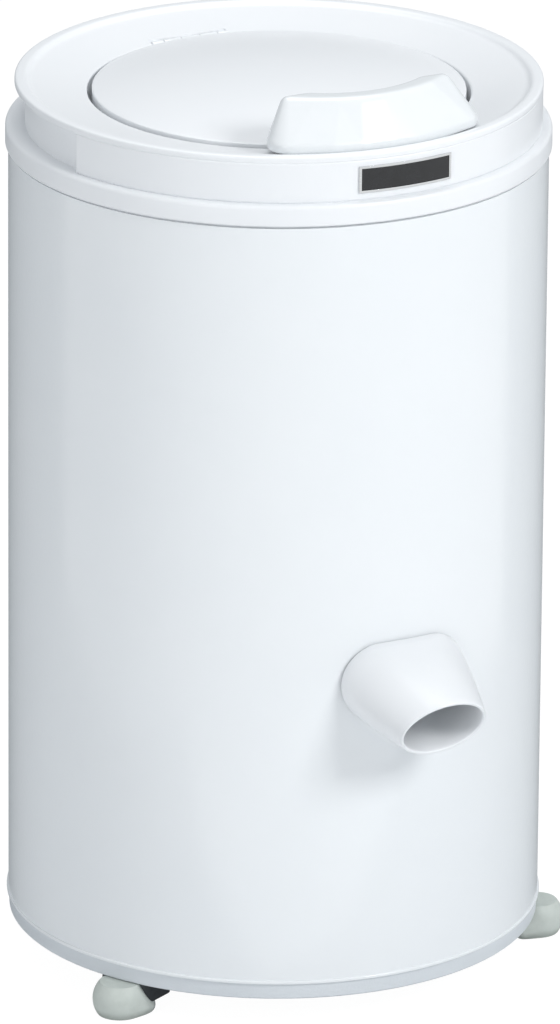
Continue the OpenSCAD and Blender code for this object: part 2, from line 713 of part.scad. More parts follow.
// two ears on the motor plate that carry the lever
module brake_bracket() color("silver") at(link_a, lever_at, mp_z + mp_t) difference() {
    union() {
        translate([-10, -8, 0]) cube([20, 16, 2]);
        for (s = [-1, 1]) translate([s * 8.5, 0, 0]) {
            translate([-1.5, -5, 0]) cube([3, 10, lever_z - mp_z - mp_t]);
            translate([0, 0, lever_z - mp_z - mp_t]) bar(5, 3);
        }
    }
    translate([0, 0, lever_z - mp_z - mp_t]) bar(2 + run, 40);
}

module brake_pin() color("silver") at(link_a, lever_at, lever_z) {
    bar(2, 22);
    for (s = [-1, 1]) translate([s * 11, 0, 0]) bar(3.2, 1.6);
}

// the long arm reaches out under the rod, the short arm lifts the pad to the disc
module brake_lever() color("silver") at(link_a, lever_at, lever_z) difference() {
    union() {
        bar(5, 13);
        translate([0, 0, -lever_t / 2]) linear_extrude(lever_t) polygon([[-4, -(rod_at - lever_at) - 4],
            [4, -(rod_at - lever_at) - 4], [5, -8], [6.5, -4], [6.5, 4], [5, 8], [8, lever_in - 12],
            [8, lever_in], [-8, lever_in], [-8, lever_in - 12], [-5, 8], [-6.5, 4], [-6.5, -4], [-5, -8]]);
    }
    bar(2 + run, 40);
    translate([0, lever_in - 20, -10]) cylinder(r = 3, h = 20, $fn = fine);
}
lever_in = 46;

module brake_pad() color("saddlebrown") at(link_a, lever_at - lever_in, lever_z + lever_t / 2)
    translate([0, -7, 0]) rounded_plate(16, 13, pad_t, 2);

// compression spring that presses the short arm up when the latch lets go
module brake_spring() color("silver") at(link_a, lever_at - lever_in + 26, mp_z + mp_t)
    tube(5, 3.6, lever_z - lever_t / 2 - mp_z - mp_t - gap);

// push rod with a flag that works the switch
module brake_rod() color("silver") at(link_a, rod_at, rod_foot) {
    cylinder(r = rod_r, h = rod_head - rod_foot - 2, $fn = fine);
    cylinder(r = rod_r + 1, h = 3, $fn = fine);
    translate([0, 0, rod_head - rod_foot - 3]) cylinder(r = rod_r + 1, h = 1.8, $fn = fine);
    translate([0, 0, rod_head - rod_foot - 1.2]) cylinder(r1 = rod_r + 1, r2 = 0.6, h = 1.2, $fn = fine);
    translate([0, -2, flag_z - rod_foot]) cube([13, 4, 3]);
}

module rocker_bracket() color("silver") at(link_a, rocker_at, rocker_z) difference() {
    union() {
        translate([-12, -(inner_r - 3.0 - rocker_at), -9]) cube([24, 1.6, 20]);
        for (s = [-1, 1]) translate([s * 6, 0, 0]) {
            translate([-1, -(inner_r - 3.4 - rocker_at), -4]) cube([2, inner_r - 3.4 - rocker_at, 8]);
            bar(4, 2);
        }
    }
    bar(1.5 + run, 40);
    translate([-4, -20, -6.5]) cube([8, 18, 12]);
}

module rocker_pin() color("silver") at(link_a, rocker_at, rocker_z) bar(1.5, 16);

// rocker between the hook's tongue and the top of the rod
module latch_rocker() color("gray") at(link_a, rocker_at, rocker_z) difference() {
    union() {
        bar(3.5, 8);
        translate([-3, -(rod_at - rocker_at) - 3, -rocker_t / 2])
            cube([6, rod_at - rocker_at + rocker_in + 6, rocker_t]);
    }
    bar(1.5 + run, 40);
}

// ---- switch and electrics ----

module lid_switch() color("black") at(link_a, rod_at, flag_z - 28) difference() {
    translate([5.5, -5, 0]) cube([12, 9.4, 19]);
    translate([9 - gap, -2 - gap, 5]) cube([4 + 2 * gap, 4 + 2 * gap, 20]);
}

module switch_button() color("firebrick") at(link_a, rod_at, flag_z - gap)
    translate([9, -2, -14]) cube([4, 4, 14]);

module capacitor() color("silver") at(cap_a, cap_at, cap_z) {
    cylinder(r = cap_r, h = cap_h);
    cylinder(r = 14, h = cap_h + 3);
    for (x = [-6, 6]) translate([x - 0.5, -3, cap_h + 3]) cube([1, 6, 8]);
}

// band round the capacitor with a leg down to the base
module capacitor_clip() color("gray") at(cap_a, cap_at, cap_z) {
    translate([0, 0, 40]) tube(cap_r + 1.4, cap_r + 0.1, 12);
    translate([-6, -cap_r - 5, 50]) cube([12, 4.2, 2]);
    translate([-6, -cap_r - 6.4, -5 + fit]) cube([12, 1.6, 57 - fit]);
}

module terminal_block() color("ivory") at(180, tub_r - 39, foot_h + base_t) difference() {
    translate([-20, -8, 0.1]) cube([40, 16, 16]);
    for (x = [-13, 0, 13]) translate([x, 0, 6]) cylinder(r = 3, h = 20, $fn = fine);
    for (x = [-13, 0, 13]) translate([x, 0, 6]) rotate([90, 0, 0])
        cylinder(r = 2.5, h = 30, center = true, $fn = fine);
}

// gland in the shell's rear, where the mains lead would enter
module cable_gland() color("black") at(180, 0, gland_z) rotate([90, 0, 0]) difference() {
    union() {
        translate([0, 0, R + 0.1]) cylinder(r = 12, h = 4);
        translate([0, 0, R + 4]) cylinder(r1 = 10, r2 = 7.5, h = 10);
        translate([0, 0, R - 14]) cylinder(r = gland_r - fit / 2, h = 20);
        translate([0, 0, R - 9]) cylinder(r = 12, h = 6.5, $fn = 6);
    }
    translate([0, 0, R - 20]) cylinder(r = cord_r, h = 50);
    translate([0, 0, R - 20]) cylinder(r = cord_r + 1.5, h = 20 + grip_z);
}
cord_r = 4;
grip_z = 2;

// ---- lid ----

// height of the lid's upper surface at a radius
function lid_top(r) = edge_z + crown * (1 - pow(max(r, lid_r / 10) / lid_r, 2));
crown_steps = [for (i = [0 : 10]) i * (lid_r - 1.5) / 10];

// crowned panel with a skirt, hinge knuckles at the rear and lugs for the handle pin
module lid_panel() color("white") difference() {
    union() {
        rotate_extrude() polygon(concat([for (r = crown_steps) [r, lid_top(r)]],
            [[lid_r, edge_z - 1.3], [lid_r, skirt_z], [lid_r - lid_t, skirt_z],
                [lid_r - lid_t, edge_z - lid_t]],
            [for (i = [9 : -1 : 0]) [crown_steps[i], lid_top(crown_steps[i]) - lid_t]]));
        for (s = [-1, 1]) translate([s * knuckle_x, 0, 0]) {
            translate([0, hinge_y, hinge_z]) bar(knuckle_r, knuckle_w);
            translate([-knuckle_w / 2, lid_r - 9, hinge_z - knuckle_r])
                cube([knuckle_w, hinge_y - lid_r + 9.5, 6]);
        }
        for (s = [-1, 1]) translate([s * lug_x, pivot_y, 0]) {
            translate([0, 0, pivot_z]) bar(4, lug_w);
            translate([-lug_w / 2, -4, well_z]) cube([lug_w, 8, pivot_z - well_z]);
        }
    }
    translate([0, hinge_y, hinge_z]) bar(hinge_pin_r + run, 120);
    translate([0, hinge_y, hinge_z]) bar(knuckle_r + 2 * gap, mid_ear_w + 1);
    for (s = [-1, 1]) translate([s * ear_x, hinge_y, hinge_z]) bar(knuckle_r + 2 * gap, ear_w + 1);
    translate([0, pivot_y, pivot_z]) bar(handle_pin_r + run, 100);
}

module lid_liner() color("gainsboro") rotate_extrude() polygon([[0, seat_z - 4], [pan_r - 3, seat_z - 4],
    [pan_r, seat_z - 1], [pan_r, liner_z], [lid_r - 0.5, liner_z], [lid_r - 0.5, skirt_z - fit / 2],
    [pan_r - 2.5, skirt_z - fit / 2], [pan_r - 2.5, seat_z], [pan_r - 4, seat_z - 1.5], [0, seat_z - 1.5]]);
liner_z = seat_z + gap + gasket_h;

module lid_gasket() color("dimgray") translate([0, 0, seat_z + gap]) difference() {
    tube(gasket_r + gasket_w, gasket_r, gasket_h);
    translate([0, 0, -1]) tube(gasket_r + 4, gasket_r + 2, 3);
}

module handle_pin() color("silver") translate([0, pivot_y, pivot_z]) bar(handle_pin_r, 2 * hook_ear_x + 8);

// ---- handle ----

corner_r = 22;
corner_a = handle_a - asin(corner_r / (handle_front_r - corner_r));

// solid of the handle, drawn in by the wall thickness for its hollow
module hood(inset, drop) hull() {
    for (s = [-1, 1]) at(s * corner_a, handle_front_r - corner_r, front_z - drop)
        cylinder(r = corner_r - inset, h = 3 + drop, $fn = fine);
    for (a = [-12 : 6 : 12]) at(a, handle_front_r - 5, front_z - drop)
        cylinder(r = 5 - inset, h = 3 + drop, $fn = fine);
    for (s = [-1, 1]) at(s * (handle_a - 2), well_r + 5, well_z + 2.6 - drop)
        cylinder(r = 4 - inset, h = 3 + drop, $fn = fine);
    for (a = [-1 : 0.25 : 1]) at(a * (handle_a - 2.2), ridge_r - ridge_round, ridge_z - ridge_round)
        sphere(r = ridge_round - inset, $fn = fine);
    for (s = [-1, 1]) translate([s * 49.5, pivot_y + 3, rim_z + 4.5]) sphere(r = 5 - inset, $fn = fine);
    for (s = [-1, 1]) translate([s * 49.5, pivot_y + 3, rim_z + 1.5 - drop]) sphere(r = 5 - inset, $fn = fine);
}

module finger_scoop(r) translate([0, pivot_y - 4, ridge_z - 2]) bar(r, 90);

// hollow handle whose front edge stands over the rim and whose ridge is scooped behind
module lid_handle() color("white") {
    difference() {
        hood(0, 0);
        finger_scoop(16);
        difference() {
            hood(handle_t, 6);
            finger_scoop(16 + handle_t);
        }
    }
    intersection() {
        hood(handle_t / 2, 0);
        for (x = [-18, 18]) translate([x, pivot_y - 24, frame_z + frame_t + fit / 4]) cylinder(r = 4, h = 40, $fn = fine);
    }
}

// steel frame under the handle: ears on the pin, and the latch tongue with its nose
module latch_hook() color("silver") difference() {
    union() {
        translate([-hook_ear_x - 2, pivot_y - 27, frame_z])
            cube([hook_x + hook_t / 2 + hook_ear_x + 2, 27, frame_t]);
        for (s = [-1, 1]) translate([s * hook_ear_x, pivot_y, 0]) {
            translate([0, 0, pivot_z]) bar(4, 4);
            translate([-2, -4, pivot_z]) cube([4, 4, frame_z - pivot_z]);
        }
        translate([hook_x - hook_t / 2, hook_y - 3.5, tongue_z]) cube([hook_t, 5, frame_z - tongue_z]);
        translate([hook_x - hook_t / 2, hook_y, strike_z - strike_t - gap - 4.6]) cube([hook_t, nose, 4.6]);
    }
    translate([0, pivot_y, pivot_z]) bar(handle_pin_r + run, 100);
}
frame_z = pivot_z + 4.5;
frame_t = 1.5;
tongue_z = rocker_z + rocker_t / 2 + gap;

body_shell();
base_tray();
base_screws();
foot_bracket(-foot_a);  // foot_bracket_left
foot_bracket(foot_a);  // foot_bracket_right
foot_bracket(180);  // foot_bracket_rear
foot(-foot_a);  // foot_left
foot(foot_a);  // foot_right
foot(180);  // foot_rear
foot_screws();
top_collar();
collar_screws();
plate_border();
name_plate();
spout();
spout_gasket();
outer_tub();
tub_seal();
shaft_seal();
rubber_buffers();
motor_plate();
upper_shield();
lower_shield();
stator_core();
stator_winding();
bearing_upper();
bearing_lower();
motor_bolts();
brake_bracket();
brake_pin();
capacitor();
capacitor_clip();
terminal_block();
cable_gland();
lid_switch();
rocker_bracket();
rocker_pin();
hinge_pin();
latch_strike();
drum();
drum_floor();
drum_rim();
drum_hub();
drum_nut();
motor_shaft();
rotor_core();
brake_disc();
cooling_fan();
lid_panel();
lid_liner();
lid_gasket();
handle_pin();
lid_handle();
latch_hook();
latch_rocker();
brake_rod();
brake_lever();
brake_pad();
switch_button();
brake_spring();
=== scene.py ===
import bpy
from math import cos, pi, radians, sin, sqrt
from mathutils import Euler, Matrix, Vector


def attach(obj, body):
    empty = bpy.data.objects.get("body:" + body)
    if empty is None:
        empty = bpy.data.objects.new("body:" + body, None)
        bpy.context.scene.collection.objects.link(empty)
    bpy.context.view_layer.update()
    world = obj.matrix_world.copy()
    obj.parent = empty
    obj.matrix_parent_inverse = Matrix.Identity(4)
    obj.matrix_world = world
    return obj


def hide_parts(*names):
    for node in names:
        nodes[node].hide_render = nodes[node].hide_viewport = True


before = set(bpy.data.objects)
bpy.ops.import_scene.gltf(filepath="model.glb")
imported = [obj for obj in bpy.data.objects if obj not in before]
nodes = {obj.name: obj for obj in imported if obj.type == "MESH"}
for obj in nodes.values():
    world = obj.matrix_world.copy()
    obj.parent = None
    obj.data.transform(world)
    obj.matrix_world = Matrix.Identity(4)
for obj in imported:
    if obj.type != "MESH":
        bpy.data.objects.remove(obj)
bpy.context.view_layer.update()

# ---- Camera ----
# A long lens from the left front, a little above the lid, as the photograph was taken:
# 6.8 m from the drum's axis, looking down 20 degrees.
bpy.ops.object.camera_add(location=(-3.2447, -5.9759, 2.7436))
camera = bpy.context.object
camera.rotation_euler = (Euler((radians(70.136), 0, radians(-28.523))).to_matrix()
                         @ Matrix.Rotation(radians(0.458), 3, "Z")).to_euler()
camera.data.lens = 399.9
camera.data.sensor_width = 36
camera.data.clip_end = 60
bpy.context.scene.camera = camera

# ---- Studio ----
# A white paper floor and an even white surround, which the camera sees as plain white.
# A large soft box lights the front from the right, and weaker ones fill in from above and left.


def linear(hex_colour, alpha=1.0):
    """sRGB hex to the linear values that a shader takes."""
    parts = [int(hex_colour[i:i + 2], 16) / 255 for i in (0, 2, 4)]
    return tuple(p / 12.92 if p <= 0.04045 else ((p + 0.055) / 1.055) ** 2.4 for p in parts) + (alpha,)


def add_node(tree, kind, settings={}, links={}):
    """Adds a shader node, sets its properties and sockets, and links its inputs."""
    made = tree.nodes.new(kind)
    for name, value in settings.items():
        if hasattr(made, name) and name not in made.inputs:
            setattr(made, name, value)
        else:
            made.inputs[name].default_value = value
    for name, output in links.items():
        tree.links.new(output, made.inputs[name])
    return made


bpy.ops.object.select_all(action="DESELECT")
bpy.ops.mesh.primitive_plane_add(size=40, location=(0, 0, 0))
paper = bpy.context.object
paper.name = "paper_floor"
bpy.ops.object.transform_apply()
white_paper = bpy.data.materials.new("white_paper")
white_paper.use_nodes = True
tree = white_paper.node_tree
tree.nodes.clear()
seen = add_node(tree, "ShaderNodeLightPath")
flash = add_node(tree, "ShaderNodeMath", {"operation": "MAXIMUM"})
tree.links.new(seen.outputs["Is Camera Ray"], flash.inputs[0])
tree.links.new(seen.outputs["Is Glossy Ray"], flash.inputs[1])
# A tenth of the paper stays matt to the camera too, which keeps the dryer's soft shadow.
share = add_node(tree, "ShaderNodeMath", {"operation": "MULTIPLY"})
tree.links.new(flash.outputs[0], share.inputs[0])
share.inputs[1].default_value = 0.9
matt = add_node(tree, "ShaderNodeBsdfDiffuse", {"Color": linear("EDEEEF")})
glow = add_node(tree, "ShaderNodeEmission", {"Color": linear("FFFFFF"), "Strength": 1.08})
both = add_node(tree, "ShaderNodeMixShader")
tree.links.new(share.outputs[0], both.inputs[0])
tree.links.new(matt.outputs[0], both.inputs[1])
tree.links.new(glow.outputs[0], both.inputs[2])
add_node(tree, "ShaderNodeOutputMaterial", {}, {"Surface": both.outputs[0]})
paper.data.materials.append(white_paper)

studio = bpy.context.scene.world or bpy.data.worlds.new("studio")
bpy.context.scene.world = studio
studio.use_nodes = True
tree = studio.node_tree
tree.nodes.clear()
seen = add_node(tree, "ShaderNodeLightPath")
flash = add_node(tree, "ShaderNodeMath", {"operation": "MAXIMUM"})
tree.links.new(seen.outputs["Is Camera Ray"], flash.inputs[0])
tree.links.new(seen.outputs["Is Glossy Ray"], flash.inputs[1])
surround = add_node(tree, "ShaderNodeBackground", {"Color": linear("EEF2F6"), "Strength": 0.55})
white = add_node(tree, "ShaderNodeBackground", {"Color": linear("FFFFFF"), "Strength": 1.0})
both = add_node(tree, "ShaderNodeMixShader")
tree.links.new(flash.outputs[0], both.inputs[0])
tree.links.new(surround.outputs[0], both.inputs[1])
tree.links.new(white.outputs[0], both.inputs[2])
add_node(tree, "ShaderNodeOutputWorld", {}, {"Surface": both.outputs[0]})


def soft_box(name, place, target, width, height, power):
    """A rectangular area lamp aimed at a point."""
    bpy.ops.object.light_add(type="AREA", location=place)
    lamp = bpy.context.object
    lamp.name = name
    lamp.rotation_euler = (Vector(target) - Vector(place)).to_track_quat("-Z", "Y").to_euler()
    lamp.data.shape = "RECTANGLE"
    lamp.data.size = width
    lamp.data.size_y = height
    lamp.data.energy = power
    return lamp


soft_box("key_box", (1.1, -2.9, 2.4), (0, 0, 0.3), 1.1, 1.1, 58)
soft_box("fill_box", (-2.6, -1.8, 1.2), (0, 0, 0.3), 1.2, 1.8, 16)
soft_box("top_box", (0.2, 0.4, 2.8), (0, 0, 0.55), 1.4, 1.4, 21)
bpy.context.scene.view_settings.view_transform = "Standard"

# Grey cards stand and lie close behind the dryer's sides, where only its gloss meets them, and
# darken the edges of the casing as in the photograph.
grey_card = bpy.data.materials.new("grey_card")
grey_card.use_nodes = True
tree = grey_card.node_tree
tree.nodes.clear()
card = add_node(tree, "ShaderNodeEmission", {"Color": linear("7E8488"), "Strength": 1.0})
add_node(tree, "ShaderNodeOutputMaterial", {}, {"Surface": card.outputs[0]})
standing, lying = 90, 0
for name, place, width, depth, tilt, turn in (
        ("card_left", (-0.13, 0.46, 0.5), 0.42, 1.0, standing, 10),
        ("card_right", (0.375, 0.175, 0.5), 0.3, 1.0, standing, -46),
        ("floor_left", (-0.2, 0.26, 0.001), 0.42, 0.4, lying, 10),
        ("floor_right", (0.27, 0.06, 0.001), 0.3, 0.3, lying, -46)):
    bpy.ops.object.select_all(action="DESELECT")
    bpy.ops.mesh.primitive_plane_add(size=1, location=place, rotation=(radians(tilt), 0, radians(turn)),
                                     scale=(width, depth, 1))
    board = bpy.context.object
    board.name = name
    board.visible_camera = False
    board.visible_shadow = False
    board.visible_diffuse = False
    board.data.materials.append(grey_card)

# ---- Casing shell ----
# A drum of rolled steel sheet with a lock seam down the back, hemmed round its lower edge.
# It is coated with glossy white stove enamel before the collar and the base go on.


def filleted(corners):
    """Corners of radius, height and fillet in mm as the points of a rounded profile in metres."""
    points = []
    for before, corner, after in zip(corners[-1:] + corners[:-1], corners, corners[1:] + corners[:1]):
        middle = Vector(corner[:2])
        if not corner[2]:
            points.append(middle / 1000)
            continue
        back, on = Vector(before[:2]) - middle, Vector(after[:2]) - middle
        reach = min(corner[2], 0.48 * back.length, 0.48 * on.length)
        for step in (0, 0.2, 0.4, 0.6, 0.8, 1):
            spot = middle + back.normalized() * reach * (1 - step) ** 2 + on.normalized() * reach * step ** 2
            points.append(spot / 1000)
    return points


def turned(name, corners, start=0.0, sweep=360.0, steps=180, closed=True):
    """A profile drawn out corner by corner from one point and spun round the drum's axis.

    Angles are in degrees from the front. A part turn gets flat ends.
    """
    line = filleted(corners)
    if closed:
        line.append(line[0])
    spots = [Vector((r * sin(radians(start)), -r * cos(radians(start)), z)) for r, z in line]
    bpy.ops.object.select_all(action="DESELECT")
    bpy.ops.mesh.primitive_circle_add(vertices=3, radius=0.001, location=(0, 0, 0))
    made = bpy.context.object
    made.name = name
    bpy.ops.object.mode_set(mode="EDIT")
    bpy.ops.mesh.merge(type="CENTER")
    bpy.ops.transform.translate(value=spots[0])
    for here, there in zip(spots, spots[1:]):
        bpy.ops.mesh.extrude_region_move(TRANSFORM_OT_translate={"value": there - here})
    bpy.ops.mesh.select_all(action="SELECT")
    bpy.ops.mesh.remove_doubles(threshold=1e-6)
    bpy.ops.mesh.spin(steps=steps, angle=radians(-sweep), center=(0, 0, 0), axis=(0, 0, 1))
    bpy.ops.mesh.select_all(action="SELECT")
    bpy.ops.mesh.remove_doubles(threshold=1e-6)
    if sweep < 360:
        bpy.ops.mesh.fill_holes(sides=0)
        bpy.ops.mesh.select_all(action="SELECT")
    bpy.ops.mesh.normals_make_consistent(inside=False)
    bpy.ops.object.mode_set(mode="OBJECT")
    bpy.ops.object.shade_smooth_by_angle(angle=radians(35))
    return made


def dress(piece, finish, body=None, stands_for=()):
    """Gives a piece its finish, and a new piece its body and the nodes it stands for."""
    piece.data.materials.clear()
    piece.data.materials.append(finish)
    if body:
        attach(piece, body)
    if stands_for:
        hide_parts(*stands_for)


def new_finish(name):
    """A material with an empty node tree, and the object coordinates its patterns read."""
    finish = bpy.data.materials.new(name)
    finish.use_nodes = True
    finish.node_tree.nodes.clear()
    place = add_node(finish.node_tree, "ShaderNodeTexCoord").outputs["Object"]
    return finish, finish.node_tree, place


# Stove enamel on steel sheet: hard, wet gloss with the faint ripple of sprayed enamel, drawn at
# 3 mm, and slow clouds of slightly cooler white where the coat is thinner.
stove_enamel, tree, place = new_finish("stove_enamel")
cloud = add_node(tree, "ShaderNodeTexNoise", {"Scale": 9.0, "Detail": 3.0}, {"Vector": place})
ripple = add_node(tree, "ShaderNodeTexNoise", {"Scale": 330.0, "Detail": 1.5}, {"Vector": place})
tone = add_node(tree, "ShaderNodeMixRGB", {"Color1": linear("EFF2F4"), "Color2": linear("E9EDF0")},
                {"Fac": cloud.outputs["Fac"]})
gloss = add_node(tree, "ShaderNodeMapRange", {"To Min": 0.14, "To Max": 0.22},
                 {"Value": cloud.outputs["Fac"]})
peel = add_node(tree, "ShaderNodeBump", {"Strength": 0.05, "Distance": 0.001},
                {"Height": ripple.outputs["Fac"]})
skin = add_node(tree, "ShaderNodeBsdfPrincipled", {"IOR": 1.5},
                {"Base Color": tone.outputs[0], "Roughness": gloss.outputs[0], "Normal": peel.outputs[0]})
add_node(tree, "ShaderNodeOutputMaterial", {}, {"Surface": skin.outputs[0]})

dress(nodes["body_shell"], stove_enamel)
shell_r = 170
hem_low, hem_high, hem_r = 32.3, 34.6, 171.1
shell_hem = turned("shell_hem", [(169.4, hem_low, 0.3), (hem_r, hem_low, 0.8),
                                 (hem_r, hem_high, 0.8), (169.4, hem_high, 0.3)])
dress(shell_hem, stove_enamel, "casing")
seam_low, seam_high, seam_r = 40, 526, 170.6
shell_seam = turned("shell_seam", [(169.5, seam_low, 0.1), (seam_r, seam_low, 0.4),
                                   (seam_r, seam_high, 0.4), (169.5, seam_high, 0.1)],
                    start=178, sweep=4, steps=8)
dress(shell_seam, stove_enamel, "casing")

# ---- Base ----
# A shallow moulded tray of glass-filled plastic that closes the casing below, with air slots.
# It is screwed up into the shell's hem, and its rim shows as a pale grey ring under the bead.

# Glass-filled nylon: pale grey and dull, with a mould grain drawn at 1.4 mm.
tray_nylon, tree, place = new_finish("tray_nylon")
cloud = add_node(tree, "ShaderNodeTexNoise", {"Scale": 22.0, "Detail": 4.0}, {"Vector": place})
grain = add_node(tree, "ShaderNodeTexNoise", {"Scale": 700.0, "Detail": 2.0}, {"Vector": place})
tone = add_node(tree, "ShaderNodeMixRGB", {"Color1": linear("DCE1E5"), "Color2": linear("CFD5DA")},
                {"Fac": cloud.outputs["Fac"]})
gloss = add_node(tree, "ShaderNodeMapRange", {"To Min": 0.36, "To Max": 0.52},
                 {"Value": cloud.outputs["Fac"]})
pores = add_node(tree, "ShaderNodeBump", {"Strength": 0.12, "Distance": 0.0008},
                 {"Height": grain.outputs["Fac"]})
skin = add_node(tree, "ShaderNodeBsdfPrincipled", {"IOR": 1.5},
                {"Base Color": tone.outputs[0], "Roughness": gloss.outputs[0], "Normal": pores.outputs[0]})
add_node(tree, "ShaderNodeOutputMaterial", {}, {"Surface": skin.outputs[0]})
dress(nodes["base_tray"], tray_nylon)

# ---- Feet and their brackets ----
# Three pale rubber feet, each a bulb with a low toe that points inwards, and at the two front
# feet also forwards. Each is screwed up into a dark bracket of pressed steel under the tray.

# Thermoplastic rubber: pale grey-green, cloudy, without gloss, scuffed darker at the floor.
foot_rubber, tree, place = new_finish("foot_rubber")
mottle = add_node(tree, "ShaderNodeTexNoise", {"Scale": 95.0, "Detail": 4.0, "Roughness": 0.6},
                  {"Vector": place})
height = add_node(tree, "ShaderNodeSeparateXYZ", {}, {"Vector": place})
scuff = add_node(tree, "ShaderNodeMapRange",
                 {"From Min": 0.0, "From Max": 0.006, "To Min": 1.0, "To Max": 0.0},
                 {"Value": height.outputs["Z"]})
tone = add_node(tree, "ShaderNodeMixRGB", {"Color1": linear("D2D8D3"), "Color2": linear("B7BFB9")},
                {"Fac": mottle.outputs["Fac"]})
worn = add_node(tree, "ShaderNodeMixRGB", {"Color2": linear("A3AAA4")},
                {"Fac": scuff.outputs[0], "Color1": tone.outputs[0]})
gloss = add_node(tree, "ShaderNodeMapRange", {"To Min": 0.5, "To Max": 0.72},
                 {"Value": mottle.outputs["Fac"]})
dints = add_node(tree, "ShaderNodeBump", {"Strength": 0.25, "Distance": 0.0012},
                 {"Height": mottle.outputs["Fac"]})
skin = add_node(tree, "ShaderNodeBsdfPrincipled", {"IOR": 1.5},
                {"Base Color": worn.outputs[0], "Roughness": gloss.outputs[0], "Normal": dints.outputs[0]})
add_node(tree, "ShaderNodeOutputMaterial", {}, {"Surface": skin.outputs[0]})

foot_circle, foot_base, foot_top = 0.168, 0.0003, 0.0216
bulb_r, bulb_at = 0.0172, (0, -foot_circle - 0.002, 0.0102)
toe_r, toe_at = 0.0062, (0, 0.0145 - foot_circle, 0.006)
for name, angle, lean in (("foot_left", -63, -55), ("foot_right", 63, 55), ("foot_rear", 180, 0)):
    bpy.ops.object.select_all(action="DESELECT")
    bpy.ops.mesh.primitive_uv_sphere_add(segments=48, ring_count=24, radius=bulb_r, location=bulb_at)
    bulb = bpy.context.object
    bulb.name = name + "_bulb"
    bpy.ops.object.transform_apply()
    bpy.ops.object.mode_set(mode="EDIT")
    bpy.ops.mesh.primitive_uv_sphere_add(segments=48, ring_count=24, radius=toe_r, location=toe_at)
    bpy.ops.mesh.select_all(action="SELECT")
    bpy.ops.mesh.convex_hull()
    bpy.ops.mesh.select_all(action="SELECT")
    bpy.ops.mesh.bisect(plane_co=(0, 0, foot_base), plane_no=(0, 0, 1), clear_inner=True, use_fill=True)
    bpy.ops.mesh.select_all(action="SELECT")
    bpy.ops.mesh.bisect(plane_co=(0, 0, foot_top), plane_no=(0, 0, 1), clear_outer=True, use_fill=True)
    bpy.ops.mesh.select_all(action="SELECT")
    bpy.ops.mesh.normals_make_consistent(inside=False)
    bpy.ops.transform.rotate(value=radians(-lean), orient_axis="Z", center_override=(0, bulb_at[1], 0))
    bpy.ops.transform.rotate(value=radians(-angle), orient_axis="Z", center_override=(0, 0, 0))
    bpy.ops.object.mode_set(mode="OBJECT")
    bpy.ops.object.shade_smooth_by_angle(angle=radians(40))
    dress(bulb, foot_rubber, "casing", (name,))

# Black-painted pressed steel, satin, with a fine orange skin and dust on its upper faces.
satin_black, tree, place = new_finish("satin_black")
dust = add_node(tree, "ShaderNodeTexNoise", {"Scale": 60.0, "Detail": 5.0}, {"Vector": place})
grain = add_node(tree, "ShaderNodeTexNoise", {"Scale": 900.0, "Detail": 1.0}, {"Vector": place})
tone = add_node(tree, "ShaderNodeMixRGB", {"Color1": linear("23262A"), "Color2": linear("3A3D40")},
                {"Fac": dust.outputs["Fac"]})
gloss = add_node(tree, "ShaderNodeMapRange", {"To Min": 0.32, "To Max": 0.55},
                 {"Value": dust.outputs["Fac"]})
pores = add_node(tree, "ShaderNodeBump", {"Strength": 0.15, "Distance": 0.0006},
                 {"Height": grain.outputs["Fac"]})
skin = add_node(tree, "ShaderNodeBsdfPrincipled", {"IOR": 1.5},
                {"Base Color": tone.outputs[0], "Roughness": gloss.outputs[0], "Normal": pores.outputs[0]})
add_node(tree, "ShaderNodeOutputMaterial", {}, {"Surface": skin.outputs[0]})
for name in ("foot_bracket_left", "foot_bracket_right", "foot_bracket_rear", "cable_gland", "lid_switch",
             "cooling_fan"):
    dress(nodes[name], satin_black)

# Zinc-plated steel: cool bright grey with a cloudy spangle about 3 mm across, slightly milky.
zinc_plate, tree, place = new_finish("zinc_plate")
spangle = add_node(tree, "ShaderNodeTexVoronoi", {"Scale": 330.0}, {"Vector": place})
haze = add_node(tree, "ShaderNodeTexNoise", {"Scale": 120.0, "Detail": 3.0}, {"Vector": place})
tone = add_node(tree, "ShaderNodeMixRGB", {"Color1": linear("C3C7C9"), "Color2": linear("AEB4B8")},
                {"Fac": spangle.outputs["Distance"]})
gloss = add_node(tree, "ShaderNodeMapRange", {"To Min": 0.28, "To Max": 0.46},
                 {"Value": haze.outputs["Fac"]})
skin = add_node(tree, "ShaderNodeBsdfPrincipled", {"Metallic": 1.0},
                {"Base Color": tone.outputs[0], "Roughness": gloss.outputs[0]})
add_node(tree, "ShaderNodeOutputMaterial", {}, {"Surface": skin.outputs[0]})
for name in ("base_screws", "foot_screws", "collar_screws", "motor_plate", "motor_bolts", "brake_bracket",
             "brake_pin", "capacitor_clip", "rocker_bracket", "rocker_pin", "hinge_pin", "latch_strike",
             "handle_pin", "latch_hook", "brake_rod", "brake_lever", "brake_spring"):
    dress(nodes[name], zinc_plate)

# ---- Top collar ----
# One white moulding that caps the shell: a rounded lip over a thin shadow gap, an apron round the
# front, a groove for winding the cord round the rest, and a rim whose dished ring holds the lid.


def eased(piece, width, segments=3):
    """Rounds a piece's sharp edges by a width in mm."""
    bpy.ops.object.modifier_add(type="BEVEL")
    piece.modifiers[-1].width = width / 1000
    piece.modifiers[-1].segments = segments
    piece.modifiers[-1].angle_limit = radians(50)
    bpy.ops.object.modifier_apply(modifier=piece.modifiers[-1].name)
    bpy.ops.object.shade_smooth_by_angle(angle=radians(35))


